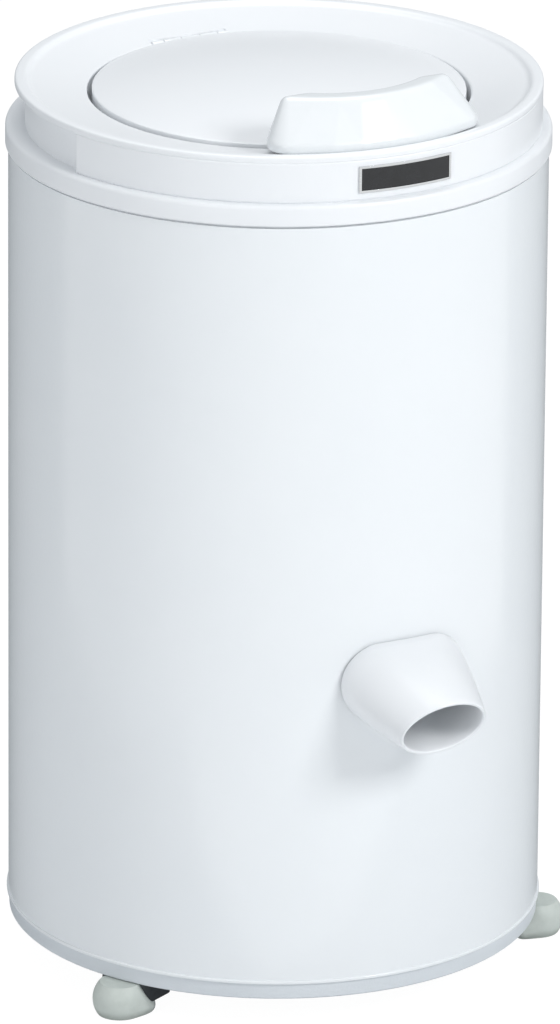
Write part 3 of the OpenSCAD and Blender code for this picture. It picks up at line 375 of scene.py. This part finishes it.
def block(name, low, high, edge):
    """A box between two corners in mm with its edges rounded."""
    bpy.ops.object.select_all(action="DESELECT")
    bpy.ops.mesh.primitive_cube_add(size=1, location=[(a + b) / 2000 for a, b in zip(low, high)],
                                    scale=[(b - a) / 1000 for a, b in zip(low, high)])
    made = bpy.context.object
    made.name = name
    bpy.ops.object.transform_apply()
    if edge:
        bpy.ops.object.mode_set(mode="EDIT")
        bpy.ops.mesh.bevel(offset=edge / 1000, segments=3, affect="EDGES")
        bpy.ops.object.mode_set(mode="OBJECT")
    return made


def knuckle(name, middle, length, radius, edge=0.4):
    """A barrel across the dryer with rounded ends, in mm."""
    bpy.ops.object.select_all(action="DESELECT")
    bpy.ops.mesh.primitive_cylinder_add(vertices=40, radius=radius / 1000, depth=length / 1000,
                                        location=[v / 1000 for v in middle], rotation=(0, radians(90), 0))
    made = bpy.context.object
    made.name = name
    bpy.ops.object.transform_apply()
    eased(made, edge)
    return made


def combined(base, tool, how):
    """Unites a tool with the base or cuts it out, then clears the tool away."""
    bpy.ops.object.select_all(action="DESELECT")
    base.select_set(True)
    bpy.context.view_layer.objects.active = base
    bpy.ops.object.modifier_add(type="BOOLEAN")
    base.modifiers[-1].operation = how
    base.modifiers[-1].object = tool
    bpy.ops.object.modifier_apply(modifier=base.modifiers[-1].name)
    bpy.data.objects.remove(tool)
    bpy.ops.object.shade_smooth_by_angle(angle=radians(35))


# Moulded ABS: the eye sees a soft sheen over spark-eroded grain, drawn at 1.2 mm.
moulded_abs, tree, place = new_finish("moulded_abs")
cloud = add_node(tree, "ShaderNodeTexNoise", {"Scale": 14.0, "Detail": 3.0}, {"Vector": place})
grain = add_node(tree, "ShaderNodeTexNoise", {"Scale": 850.0, "Detail": 2.0}, {"Vector": place})
tone = add_node(tree, "ShaderNodeMixRGB", {"Color1": linear("F2F4F6"), "Color2": linear("EBEEF1")},
                {"Fac": cloud.outputs["Fac"]})
gloss = add_node(tree, "ShaderNodeMapRange", {"To Min": 0.26, "To Max": 0.38},
                 {"Value": cloud.outputs["Fac"]})
pores = add_node(tree, "ShaderNodeBump", {"Strength": 0.06, "Distance": 0.0006},
                 {"Height": grain.outputs["Fac"]})
skin = add_node(tree, "ShaderNodeBsdfPrincipled", {"IOR": 1.5},
                {"Base Color": tone.outputs[0], "Roughness": gloss.outputs[0], "Normal": pores.outputs[0]})
add_node(tree, "ShaderNodeOutputMaterial", {}, {"Surface": skin.outputs[0]})

lip_r, rim_r, apron_r, wall_r, inner_r, well_r, throat_r = 171.9, 166, 165.75, 159.5, 157, 120.5, 100
skirt_z, lip_z, seat_z, well_z, rim_z = 521, 548, 552, 569, 578

collar_lip = turned("collar_lip", [
    (rim_r, skirt_z, 0.6), (168.9, skirt_z, 0.6), (168.9, 532.4, 0), (168.0, 532.8, 0), (168.0, 534.5, 0.2),
    (171.1, 534.5, 0.5), (lip_r, 535.4, 0.6), (lip_r, lip_z, 2.8), (156, lip_z, 0.3), (156, lip_z - 3, 0.3),
    (rim_r, lip_z - 3, 0.5)])
dress(collar_lip, moulded_abs, "casing", ("top_collar",))

apron_half = 78
collar_apron = turned("collar_apron", [(156.2, lip_z - 0.5, 0), (apron_r, lip_z - 0.5, 0),
                                       (apron_r, rim_z - 3.5, 0), (156.2, rim_z - 3.5, 0)],
                      start=-apron_half, sweep=2 * apron_half, steps=90)
eased(collar_apron, 1.6)
dress(collar_apron, moulded_abs, "casing", ("top_collar",))

collar_wall = turned("collar_wall", [
    (inner_r - 2.5, 526, 0.4), (inner_r, 526, 0.4), (inner_r, lip_z - 2, 0), (wall_r, lip_z - 2, 0),
    (wall_r, rim_z - 3, 0), (inner_r - 2.5, rim_z - 3, 0)])
rocker_window = block("rocker_window", (-5, -160, 532), (5, -150, 546), 0)
bpy.ops.object.mode_set(mode="EDIT")
bpy.ops.transform.rotate(value=radians(-18), orient_axis="Z", center_override=(0, 0, 0))
bpy.ops.object.mode_set(mode="OBJECT")
combined(collar_wall, rocker_window, "DIFFERENCE")
dress(collar_wall, moulded_abs, "casing", ("top_collar",))

# The hinge pocket is walled behind the well, and the latch slot has a frame below it.
hook_x, hook_y = 41.1, -126.5
hinge_y, hinge_z, hinge_r = 119, 567, 3.5
collar_ring = turned("collar_ring", [
    (159, rim_z - 5, 0.4), (165.2, rim_z - 5, 0.8), (rim_r, 574.2, 0.8), (rim_r, rim_z, 2.0),
    (159, rim_z, 2.2), (156.3, 575.4, 2.0), (121.3, well_z, 1.0), (well_r, 568.2, 0.8),
    (well_r, seat_z, 1.2), (100.6, seat_z, 1.0), (throat_r, seat_z - 1, 0.6), (throat_r, 532, 0.5),
    (throat_r + 2.5, 532, 0.5), (throat_r + 2.5, seat_z - 2.5, 1), (well_r + 2.5, seat_z - 2.5, 1),
    (well_r + 2.5, 566, 1), (156.5, 571.8, 1)])
pocket_wall = block("pocket_wall", (-29.5, 115, 549.6), (29.5, 128.5, 567), 0.5)
slot_frame = block("slot_frame", (hook_x - 10, hook_y - 12, 559), (hook_x + 10, hook_y + 12, 568.6), 0.5)
pocket_cut = block("pocket_cut", (-27.5, 109, 552), (27.5, 124.1, 582), 0)
slot_cut = block("slot_cut", (hook_x - 4, hook_y - 9, 540), (hook_x + 4, hook_y + 6, 600), 0)
for tool, how in ((pocket_wall, "UNION"), (slot_frame, "UNION"), (pocket_cut, "DIFFERENCE"),
                  (slot_cut, "DIFFERENCE")):
    combined(collar_ring, tool, how)
for name, x, length in (("ear_left", -23.5, 8), ("ear_middle", 0, 13), ("ear_right", 23.5, 8)):
    combined(collar_ring, knuckle(name, (x, hinge_y, hinge_z), length, hinge_r), "UNION")
    combined(collar_ring, block(name + "_foot", (x - length / 2, hinge_y, hinge_z - hinge_r),
                                (x + length / 2, hinge_y + 7.5, hinge_z + 1.2), 0.3), "UNION")
dress(collar_ring, moulded_abs, "casing", ("top_collar",))

# ---- Lid ----
# A round crowned ABS lid with a skirt that drops into the well. Knuckles at the rear turn on
# the hinge pin, and two lugs in front carry the handle's pin.
lid_r, lid_edge_z, lid_rise, lid_wall = 117.5, 570.5, 11, 2.5
pin_y, pin_z, lug_x = -108, 579, 24


def lid_top(r):
    """The crown's height at a distance from the middle, flat over the innermost part."""
    return lid_edge_z + lid_rise * (1 - (max(r, lid_r / 10) / lid_r) ** 2)


crown = [lid_r / 12 * k for k in range(12)] + [115.8]
skirt_r = lid_r - lid_wall
skirt = [(lid_r, lid_edge_z, 1.4), (lid_r, 560, 0.7), (skirt_r, 560, 0.7), (skirt_r, 567.6, 1.2)]
lid_disc = turned("lid_disc", [(r, lid_top(r), 0) for r in crown] + skirt
                  + [(r, lid_top(r) - lid_wall, 0) for r in crown[-2::-1]], closed=False)
for name, x in (("knuckle_left", -13), ("knuckle_right", 13)):
    combined(lid_disc, block(name + "_arm", (x - 6, 108.5, 563.6), (x + 6, hinge_y, 569.2), 0.4), "UNION")
    combined(lid_disc, knuckle(name, (x, hinge_y, hinge_z), 12, hinge_r), "UNION")
for name, x in (("lug_left", -lug_x), ("lug_right", lug_x)):
    stem = block(name + "_stem", (x - 2.5, pin_y - 4, 569), (x + 2.5, pin_y + 4, pin_z), 0.4)
    combined(lid_disc, stem, "UNION")
    combined(lid_disc, knuckle(name, (x, pin_y, pin_z), 5, 4), "UNION")
dress(lid_disc, moulded_abs, "lid", ("lid_panel",))

# Natural polypropylene for the lid's liner and the tub: milky grey-white with a waxy, even sheen.
milky_polypropylene, tree, place = new_finish("milky_polypropylene")
cloud = add_node(tree, "ShaderNodeTexNoise", {"Scale": 30.0, "Detail": 3.0}, {"Vector": place})
tone = add_node(tree, "ShaderNodeMixRGB", {"Color1": linear("DFE3E4"), "Color2": linear("D3D8DA")},
                {"Fac": cloud.outputs["Fac"]})
gloss = add_node(tree, "ShaderNodeMapRange", {"To Min": 0.36, "To Max": 0.5},
                 {"Value": cloud.outputs["Fac"]})
flow = add_node(tree, "ShaderNodeBump", {"Strength": 0.08, "Distance": 0.002},
                {"Height": cloud.outputs["Fac"]})
skin = add_node(tree, "ShaderNodeBsdfPrincipled", {"IOR": 1.49, "Subsurface Weight": 0.08},
                {"Base Color": tone.outputs[0], "Roughness": gloss.outputs[0], "Normal": flow.outputs[0]})
add_node(tree, "ShaderNodeOutputMaterial", {}, {"Surface": skin.outputs[0]})
dress(nodes["lid_liner"], milky_polypropylene)

# Grey EPDM foam seal: matt, with a skin of fine closed pores drawn at 1.5 mm.
foam_rubber, tree, place = new_finish("foam_rubber")
pore = add_node(tree, "ShaderNodeTexVoronoi", {"Scale": 650.0}, {"Vector": place})
tone = add_node(tree, "ShaderNodeMixRGB", {"Color1": linear("6C6F71"), "Color2": linear("858889")},
                {"Fac": pore.outputs["Distance"]})
pits = add_node(tree, "ShaderNodeBump", {"Strength": 0.4, "Distance": 0.0006},
                {"Height": pore.outputs["Distance"]})
skin = add_node(tree, "ShaderNodeBsdfPrincipled", {"IOR": 1.5, "Roughness": 0.75},
                {"Base Color": tone.outputs[0], "Normal": pits.outputs[0]})
add_node(tree, "ShaderNodeOutputMaterial", {}, {"Surface": skin.outputs[0]})
dress(nodes["lid_gasket"], foam_rubber)

# ---- Handle ----
# A hollow moulded hood at the lid's front, scooped behind its ridge for the fingers. It turns on
# a steel pin between the lid's lugs, and its frame below carries the latch hook.

# Polished ABS: glossier than the lid, from a polished mould, with faint finger haze.
polished_abs, tree, place = new_finish("polished_abs")
haze = add_node(tree, "ShaderNodeTexNoise", {"Scale": 45.0, "Detail": 4.0}, {"Vector": place})
tone = add_node(tree, "ShaderNodeMixRGB", {"Color1": linear("E9ECEE"), "Color2": linear("E4E8EA")},
                {"Fac": haze.outputs["Fac"]})
gloss = add_node(tree, "ShaderNodeMapRange", {"To Min": 0.12, "To Max": 0.24},
                 {"Value": haze.outputs["Fac"]})
skin = add_node(tree, "ShaderNodeBsdfPrincipled", {"IOR": 1.5},
                {"Base Color": tone.outputs[0], "Roughness": gloss.outputs[0]})
add_node(tree, "ShaderNodeOutputMaterial", {}, {"Surface": skin.outputs[0]})
ridge_half, ridge_y, ridge_z, ridge_bow = 53, -137, 600, 18
hood_front, hood_wall, hood_low = 151, 2.6, 14
scoop_at = (0, -0.059, 0.607)


def hood(name, wall, drop):
    """The handle's closed form, drawn in by a wall and lengthened downwards, in mm."""
    # Each ball has x, y, z, a radius, and its height as a share of its width.
    corners = ((56.5, -128.5, 577.4 - drop, 15, 0.25), (56.5, -128.5, 581, 15, 0.25),
               (51.5, -106, 578 - drop, 5, 1), (51.5, -106, 583, 5, 1))
    balls = [(side * x, y, z, radius, tall) for side in (-1, 1) for x, y, z, radius, tall in corners]
    for turn in (-14, -7, 0, 7, 14):
        balls.append((hood_front * sin(radians(turn)), -hood_front * cos(radians(turn)), 579 - drop, 5, 1))
    for share in (-1, -0.75, -0.5, -0.25, 0, 0.25, 0.5, 0.75, 1):
        balls.append((ridge_half * share, ridge_y + ridge_bow * share * share, ridge_z, 6, 1))
    bpy.ops.object.select_all(action="DESELECT")
    made = None
    for x, y, z, radius, tall in balls:
        bpy.ops.mesh.primitive_uv_sphere_add(segments=32, ring_count=16, radius=(radius - wall) / 1000,
                                             location=(x / 1000, y / 1000, z / 1000), scale=(1, 1, tall))
        ball = bpy.context.object
        if made:
            made.select_set(True)
            bpy.context.view_layer.objects.active = made
            bpy.ops.object.join()
        else:
            made = ball
            made.name = name
            bpy.ops.object.transform_apply()
    bpy.ops.object.mode_set(mode="EDIT")
    bpy.ops.mesh.select_all(action="SELECT")
    bpy.ops.mesh.convex_hull()
    bpy.ops.object.mode_set(mode="OBJECT")
    scoop_r, scoop_deep = 70 + wall, 20 + wall
    bpy.ops.object.select_all(action="DESELECT")
    bpy.ops.mesh.primitive_uv_sphere_add(segments=96, ring_count=48, radius=scoop_r / 1000,
                                         location=scoop_at, scale=(1, 1, scoop_deep / scoop_r))
    scoop = bpy.context.object
    bpy.ops.object.transform_apply()
    combined(made, scoop, "DIFFERENCE")
    return made


handle_hood = hood("handle_hood", 0, 0)
combined(handle_hood, hood("handle_hollow", hood_wall, hood_low), "DIFFERENCE")
handle_hood.data.remesh_voxel_size = 0.0011
bpy.ops.object.voxel_remesh()
bpy.ops.object.modifier_add(type="SMOOTH")
handle_hood.modifiers[-1].iterations = 8
bpy.ops.object.modifier_apply(modifier=handle_hood.modifiers[-1].name)
bpy.ops.object.mode_set(mode="EDIT")
bpy.ops.mesh.select_all(action="SELECT")
bpy.ops.transform.rotate(value=radians(1.75), orient_axis="Z", center_override=(0, 0, 0))
bpy.ops.object.mode_set(mode="OBJECT")
bpy.ops.object.shade_smooth()
dress(handle_hood, polished_abs, "handle", ("lid_handle",))

# ---- Name plate ----
# A small black plate let into a bright border at the middle of the apron. It is left bare.
plate_z, plate_w, plate_h, border = 561.5, 65, 17, 1.4


def sector_plate(name, width, height, radius, depth, edge):
    """A slab that follows the apron, centred at its front, in mm."""
    half = width / radius * 90 / pi
    low, high = plate_z - height / 2, plate_z + height / 2
    made = turned(name, [(radius - depth, low, 0), (radius, low, 0),
                         (radius, high, 0), (radius - depth, high, 0)],
                  start=-half, sweep=2 * half, steps=36)
    if edge:
        eased(made, edge)
    return made


# Chromium-plated border: mirror bright, with hairline scratches that roughen it in streaks.
chrome_border, tree, place = new_finish("chrome_border")
stretch = add_node(tree, "ShaderNodeMapping", {"Scale": (60, 60, 1400)}, {"Vector": place})
hairline = add_node(tree, "ShaderNodeTexNoise", {"Scale": 1.0, "Detail": 3.0},
                    {"Vector": stretch.outputs[0]})
tone = add_node(tree, "ShaderNodeMixRGB", {"Color1": linear("DADCDD"), "Color2": linear("C6C9CB")},
                {"Fac": hairline.outputs["Fac"]})
gloss = add_node(tree, "ShaderNodeMapRange", {"To Min": 0.06, "To Max": 0.2},
                 {"Value": hairline.outputs["Fac"]})
skin = add_node(tree, "ShaderNodeBsdfPrincipled", {"Metallic": 1.0},
                {"Base Color": tone.outputs[0], "Roughness": gloss.outputs[0]})
add_node(tree, "ShaderNodeOutputMaterial", {}, {"Surface": skin.outputs[0]})

# Black lacquer on the plate: deep and smooth, with a trace of dust and wiping marks.
black_lacquer, tree, place = new_finish("black_lacquer")
wiping = add_node(tree, "ShaderNodeTexNoise", {"Scale": 140.0, "Detail": 4.0}, {"Vector": place})
tone = add_node(tree, "ShaderNodeMixRGB", {"Color1": linear("121315"), "Color2": linear("26282B")},
                {"Fac": wiping.outputs["Fac"]})
gloss = add_node(tree, "ShaderNodeMapRange", {"To Min": 0.14, "To Max": 0.32},
                 {"Value": wiping.outputs["Fac"]})
skin = add_node(tree, "ShaderNodeBsdfPrincipled", {"IOR": 1.5},
                {"Base Color": tone.outputs[0], "Roughness": gloss.outputs[0]})
add_node(tree, "ShaderNodeOutputMaterial", {}, {"Surface": skin.outputs[0]})

plate_frame = sector_plate("plate_frame", plate_w, plate_h, 166.95, 1.15, 0)
plate_cut = sector_plate("plate_cut", plate_w - 2 * border, plate_h - 2 * border, 168, 5, 0)
combined(plate_frame, plate_cut, "DIFFERENCE")
eased(plate_frame, 0.4, 2)
dress(plate_frame, chrome_border, "casing", ("plate_border",))
plate_face = sector_plate("plate_face", 62.1, 14.1, 166.6, 0.8, 0.3)
dress(plate_face, black_lacquer, "casing", ("name_plate",))

# ---- Drain spout ----
# A moulded spout over the shell's drain opening. Its oblong root narrows to an oval mouth that
# points down and forward, and a dark gasket keeps it a hair off the enamel. The gasket's black, set back
# under the flange, is also painted shade that deepens the gap there.
spout_z, flange_r = 232, shell_r + 1.2
root_w, root_h, mouth_w, mouth_h, bore_w, bore_h = 86, 52, 59.5, 47.7, 73, 39


def oblong(width, height, seat):
    """Sixty-four points of an oblong of half-round ends about the spout's axis, seated at seat(x)."""
    spots = []
    for k in range(64):
        turn = 2 * pi * k / 64
        side = 0 if k in (0, 32) else (1 if k < 32 else -1)
        x = height / 2 * sin(turn) + side * (width - height) / 2
        spots.append((x, seat(x), spout_z + height / 2 * cos(turn)))
    return spots


def oval(width, height, out):
    """Sixty-four points of the mouth's oval, out mm along the way it faces."""
    spots = []
    for k in range(64):
        turn = 2 * pi * k / 64
        up = height / 2 * cos(turn)
        spots.append((width / 2 * sin(turn), -220 - 0.5 * up - 0.866 * out, 215 + 0.866 * up - 0.5 * out))
    return spots


def between(a, b, share, swell=0.0):
    """The loop part of the way from one to another, swollen about its middle."""
    mixed = [Vector(p) * (1 - share) + Vector(q) * share for p, q in zip(a, b)]
    middle = sum(mixed, Vector((0, 0, 0))) / len(mixed)
    return [middle + (p - middle) * (1 + swell * sin(pi * share)) for p in mixed]


def lofted(name, loops):
    """Skins a ring of loops in mm, the last joined to the first."""
    count = len(loops[0])
    spots = [Vector(p) / 1000 for loop in loops for p in loop]
    faces = []
    for i in range(len(loops)):
        near, far = i * count, (i + 1) % len(loops) * count
        faces += [(near + k, near + (k + 1) % count, far + (k + 1) % count, far + k) for k in range(count)]
    made = bpy.data.objects.new(name, bpy.data.meshes.new(name))
    made.data.from_pydata(spots, [], faces)
    bpy.context.collection.objects.link(made)
    bpy.ops.object.select_all(action="DESELECT")
    made.select_set(True)
    bpy.context.view_layer.objects.active = made
    bpy.ops.object.mode_set(mode="EDIT")
    bpy.ops.mesh.select_all(action="SELECT")
    bpy.ops.mesh.normals_make_consistent(inside=False)
    bpy.ops.object.mode_set(mode="OBJECT")
    bpy.ops.object.shade_smooth_by_angle(angle=radians(40))
    return made


def on_shell(radius):
    """The depth at which a sheet of this radius passes x."""
    return lambda x: -sqrt(radius * radius - x * x)


mouth, inner_mouth = oval(mouth_w, mouth_h, 0), oval(mouth_w - 5, mouth_h - 5, 0)
bore = oblong(bore_w, bore_h, lambda x: -165)
drain_spout = lofted("drain_spout", [
    oblong(78, 44, lambda x: -150), oblong(78, 44, on_shell(flange_r)), oblong(85, 51, on_shell(flange_r)),
    oblong(root_w, root_h, on_shell(shell_r + 2)), oblong(86.4, 52.4, on_shell(shell_r + 3.2))]
    + [between(oblong(root_w, root_h, on_shell(shell_r + 3.6)), mouth, k / 12, 0.03) for k in range(1, 12)]
    + [mouth, oval(59.1, 47.3, 0.6), oval(58, 46.2, 1.1), oval(56, 44.2, 1.1), oval(54.9, 43.1, 0.6),
       inner_mouth]
    + [between(inner_mouth, bore, k / 8, 0.02) for k in range(1, 8)]
    + [bore, oblong(bore_w, bore_h, lambda x: -150)])
dress(drain_spout, moulded_abs, "casing", ("spout",))

# Black EPDM: matt, slightly bloomed grey, with a fine moulded texture.
black_epdm, tree, place = new_finish("black_epdm")
bloom = add_node(tree, "ShaderNodeTexNoise", {"Scale": 80.0, "Detail": 5.0}, {"Vector": place})
tone = add_node(tree, "ShaderNodeMixRGB", {"Color1": linear("1E1F20"), "Color2": linear("343637")},
                {"Fac": bloom.outputs["Fac"]})
gloss = add_node(tree, "ShaderNodeMapRange", {"To Min": 0.55, "To Max": 0.8},
                 {"Value": bloom.outputs["Fac"]})
nap = add_node(tree, "ShaderNodeBump", {"Strength": 0.2, "Distance": 0.0008},
               {"Height": bloom.outputs["Fac"]})
skin = add_node(tree, "ShaderNodeBsdfPrincipled", {"IOR": 1.5},
                {"Base Color": tone.outputs[0], "Roughness": gloss.outputs[0], "Normal": nap.outputs[0]})
add_node(tree, "ShaderNodeOutputMaterial", {}, {"Surface": skin.outputs[0]})
# A real seal under the flange, whose black is also painted shade in the gap round the spout's root.
root_seal_and_shade = lofted("root_seal_and_shade", [
    oblong(83.5, 49.5, on_shell(shell_r + 0.02)), oblong(83.5, 49.5, on_shell(flange_r)),
    oblong(78.2, 44.2, on_shell(flange_r)), oblong(78.2, 44.2, on_shell(shell_r + 0.02))])
dress(root_seal_and_shade, black_epdm, "casing")
for name in ("spout_gasket", "tub_seal", "shaft_seal", "rubber_buffers"):
    dress(nodes[name], black_epdm)

# ---- Tub and drum ----
# The moulded tub catches the water. In it turns a drum of perforated stainless sheet with a
# rolled mouth, riveted to a cast hub on the motor's shaft.
dress(nodes["outer_tub"], milky_polypropylene)

# Stainless sheet brushed round the drum: bright, with streaks along the turn drawn at 0.8 mm.
brushed_stainless, tree, place = new_finish("brushed_stainless")
stretch = add_node(tree, "ShaderNodeMapping", {"Scale": (14, 14, 1250)}, {"Vector": place})
streak = add_node(tree, "ShaderNodeTexNoise", {"Scale": 1.0, "Detail": 4.0}, {"Vector": stretch.outputs[0]})
tone = add_node(tree, "ShaderNodeMixRGB", {"Color1": linear("D2D3D2"), "Color2": linear("BEC0C0")},
                {"Fac": streak.outputs["Fac"]})
gloss = add_node(tree, "ShaderNodeMapRange", {"To Min": 0.18, "To Max": 0.38},
                 {"Value": streak.outputs["Fac"]})
rub = add_node(tree, "ShaderNodeBump", {"Strength": 0.06, "Distance": 0.0004},
               {"Height": streak.outputs["Fac"]})
skin = add_node(tree, "ShaderNodeBsdfPrincipled", {"Metallic": 1.0},
                {"Base Color": tone.outputs[0], "Roughness": gloss.outputs[0], "Normal": rub.outputs[0]})
add_node(tree, "ShaderNodeOutputMaterial", {}, {"Surface": skin.outputs[0]})
for name in ("drum", "drum_floor", "drum_rim", "drum_nut"):
    dress(nodes[name], brushed_stainless)

# ---- Motor ----
# A small induction motor hung under the tub on a steel plate and three rubber buffers: cast
# shields, a stack of steel laminations, copper windings, and a brake disc on the shaft.

# Sand-cast aluminium: dull silver with a grainy skin, drawn at 1.5 mm.
cast_aluminium, tree, place = new_finish("cast_aluminium")
sand = add_node(tree, "ShaderNodeTexNoise", {"Scale": 650.0, "Detail": 3.0}, {"Vector": place})
stain = add_node(tree, "ShaderNodeTexNoise", {"Scale": 40.0, "Detail": 3.0}, {"Vector": place})
tone = add_node(tree, "ShaderNodeMixRGB", {"Color1": linear("C2C4C6"), "Color2": linear("A4A7AA")},
                {"Fac": stain.outputs["Fac"]})
gloss = add_node(tree, "ShaderNodeMapRange", {"To Min": 0.42, "To Max": 0.62},
                 {"Value": sand.outputs["Fac"]})
grit = add_node(tree, "ShaderNodeBump", {"Strength": 0.35, "Distance": 0.0008},
                {"Height": sand.outputs["Fac"]})
skin = add_node(tree, "ShaderNodeBsdfPrincipled", {"Metallic": 1.0},
                {"Base Color": tone.outputs[0], "Roughness": gloss.outputs[0], "Normal": grit.outputs[0]})
add_node(tree, "ShaderNodeOutputMaterial", {}, {"Surface": skin.outputs[0]})
for name in ("upper_shield", "lower_shield", "drum_hub"):
    dress(nodes[name], cast_aluminium)

# Stacked electrical sheet: dark grey steel with a line for each sheet, 0.5 mm drawn at 1.5 mm.
sheet_stack, tree, place = new_finish("sheet_stack")
layers = add_node(tree, "ShaderNodeTexWave", {"bands_direction": "Z", "Scale": 210.0, "Distortion": 0.3},
                  {"Vector": place})
tone = add_node(tree, "ShaderNodeMixRGB", {"Color1": linear("4B4E52"), "Color2": linear("6A6E73")},
                {"Fac": layers.outputs["Fac"]})
edges = add_node(tree, "ShaderNodeBump", {"Strength": 0.5, "Distance": 0.0005},
                 {"Height": layers.outputs["Fac"]})
skin = add_node(tree, "ShaderNodeBsdfPrincipled", {"Metallic": 1.0, "Roughness": 0.45},
                {"Base Color": tone.outputs[0], "Normal": edges.outputs[0]})
add_node(tree, "ShaderNodeOutputMaterial", {}, {"Surface": skin.outputs[0]})
for name in ("stator_core", "rotor_core"):
    dress(nodes[name], sheet_stack)

# Varnished copper winding: reddish, with the wires' rounds at 1 mm under a glossy coat.
varnished_copper, tree, place = new_finish("varnished_copper")
wires = add_node(tree, "ShaderNodeTexWave", {"bands_direction": "Z", "Scale": 320.0, "Distortion": 1.5},
                 {"Vector": place})
tone = add_node(tree, "ShaderNodeMixRGB", {"Color1": linear("8E4A24"), "Color2": linear("C4743B")},
                {"Fac": wires.outputs["Fac"]})
rounds = add_node(tree, "ShaderNodeBump", {"Strength": 0.7, "Distance": 0.0006},
                  {"Height": wires.outputs["Fac"]})
skin = add_node(tree, "ShaderNodeBsdfPrincipled", {"Metallic": 1.0, "Roughness": 0.3, "Coat Weight": 0.6},
                {"Base Color": tone.outputs[0], "Normal": rounds.outputs[0]})
add_node(tree, "ShaderNodeOutputMaterial", {}, {"Surface": skin.outputs[0]})
dress(nodes["stator_winding"], varnished_copper)

# Ground steel for the shaft, bearings and brake disc: bright, with fine turning marks.
ground_steel, tree, place = new_finish("ground_steel")
stretch = add_node(tree, "ShaderNodeMapping", {"Scale": (40, 40, 1600)}, {"Vector": place})
marks = add_node(tree, "ShaderNodeTexNoise", {"Scale": 1.0, "Detail": 2.0}, {"Vector": stretch.outputs[0]})
tone = add_node(tree, "ShaderNodeMixRGB", {"Color1": linear("D6D7D8"), "Color2": linear("C4C6C8")},
                {"Fac": marks.outputs["Fac"]})
gloss = add_node(tree, "ShaderNodeMapRange", {"To Min": 0.16, "To Max": 0.3},
                 {"Value": marks.outputs["Fac"]})
skin = add_node(tree, "ShaderNodeBsdfPrincipled", {"Metallic": 1.0},
                {"Base Color": tone.outputs[0], "Roughness": gloss.outputs[0]})
add_node(tree, "ShaderNodeOutputMaterial", {}, {"Surface": skin.outputs[0]})
for name in ("bearing_upper", "bearing_lower", "motor_shaft", "brake_disc"):
    dress(nodes[name], ground_steel)

# ---- Electrical fittings ----
# A capacitor in its clip, a terminal block, and the lid switch with the button the rod presses.

# Drawn aluminium can: satin, with faint lines along its length.
drawn_aluminium, tree, place = new_finish("drawn_aluminium")
stretch = add_node(tree, "ShaderNodeMapping", {"Scale": (900, 900, 12)}, {"Vector": place})
lines = add_node(tree, "ShaderNodeTexNoise", {"Scale": 1.0, "Detail": 3.0}, {"Vector": stretch.outputs[0]})
tone = add_node(tree, "ShaderNodeMixRGB", {"Color1": linear("DADBDD"), "Color2": linear("C8CACC")},
                {"Fac": lines.outputs["Fac"]})
gloss = add_node(tree, "ShaderNodeMapRange", {"To Min": 0.28, "To Max": 0.42},
                 {"Value": lines.outputs["Fac"]})
skin = add_node(tree, "ShaderNodeBsdfPrincipled", {"Metallic": 1.0},
                {"Base Color": tone.outputs[0], "Roughness": gloss.outputs[0]})
add_node(tree, "ShaderNodeOutputMaterial", {}, {"Surface": skin.outputs[0]})
dress(nodes["capacitor"], drawn_aluminium)

# Moulded polyamide in cream, red and grey: satin, with fine mould grain and cloudy colour.
for piece, name, light, dark in (("terminal_block", "cream_polyamide", "DED3B0", "CFC39E"),
                                 ("switch_button", "red_polyamide", "B4231F", "9A1D1A"),
                                 ("latch_rocker", "grey_polyamide", "76787A", "66686A")):
    polyamide, tree, place = new_finish(name)
    cloud = add_node(tree, "ShaderNodeTexNoise", {"Scale": 120.0, "Detail": 4.0}, {"Vector": place})
    tone = add_node(tree, "ShaderNodeMixRGB", {"Color1": linear(light), "Color2": linear(dark)},
                    {"Fac": cloud.outputs["Fac"]})
    gloss = add_node(tree, "ShaderNodeMapRange", {"To Min": 0.34, "To Max": 0.5},
                     {"Value": cloud.outputs["Fac"]})
    pores = add_node(tree, "ShaderNodeBump", {"Strength": 0.1, "Distance": 0.0006},
                     {"Height": cloud.outputs["Fac"]})
    skin = add_node(tree, "ShaderNodeBsdfPrincipled", {"IOR": 1.53},
                    {"Base Color": tone.outputs[0], "Roughness": gloss.outputs[0], "Normal": pores.outputs[0]})
    add_node(tree, "ShaderNodeOutputMaterial", {}, {"Surface": skin.outputs[0]})
    dress(nodes[piece], polyamide)

# ---- Brake lining ----
# A block of pressed fibre bonded to the brake lever, brown with paler fibres and dark grit.
pressed_fibre, tree, place = new_finish("pressed_fibre")
fibre = add_node(tree, "ShaderNodeTexNoise", {"Scale": 420.0, "Detail": 5.0, "Roughness": 0.7},
                 {"Vector": place})
tone = add_node(tree, "ShaderNodeMixRGB", {"Color1": linear("4A3A2A"), "Color2": linear("8A7358")},
                {"Fac": fibre.outputs["Fac"]})
rough = add_node(tree, "ShaderNodeBump", {"Strength": 0.5, "Distance": 0.0008},
                 {"Height": fibre.outputs["Fac"]})
skin = add_node(tree, "ShaderNodeBsdfPrincipled", {"IOR": 1.5, "Roughness": 0.85},
                {"Base Color": tone.outputs[0], "Normal": rough.outputs[0]})
add_node(tree, "ShaderNodeOutputMaterial", {}, {"Surface": skin.outputs[0]})
dress(nodes["brake_pad"], pressed_fibre)
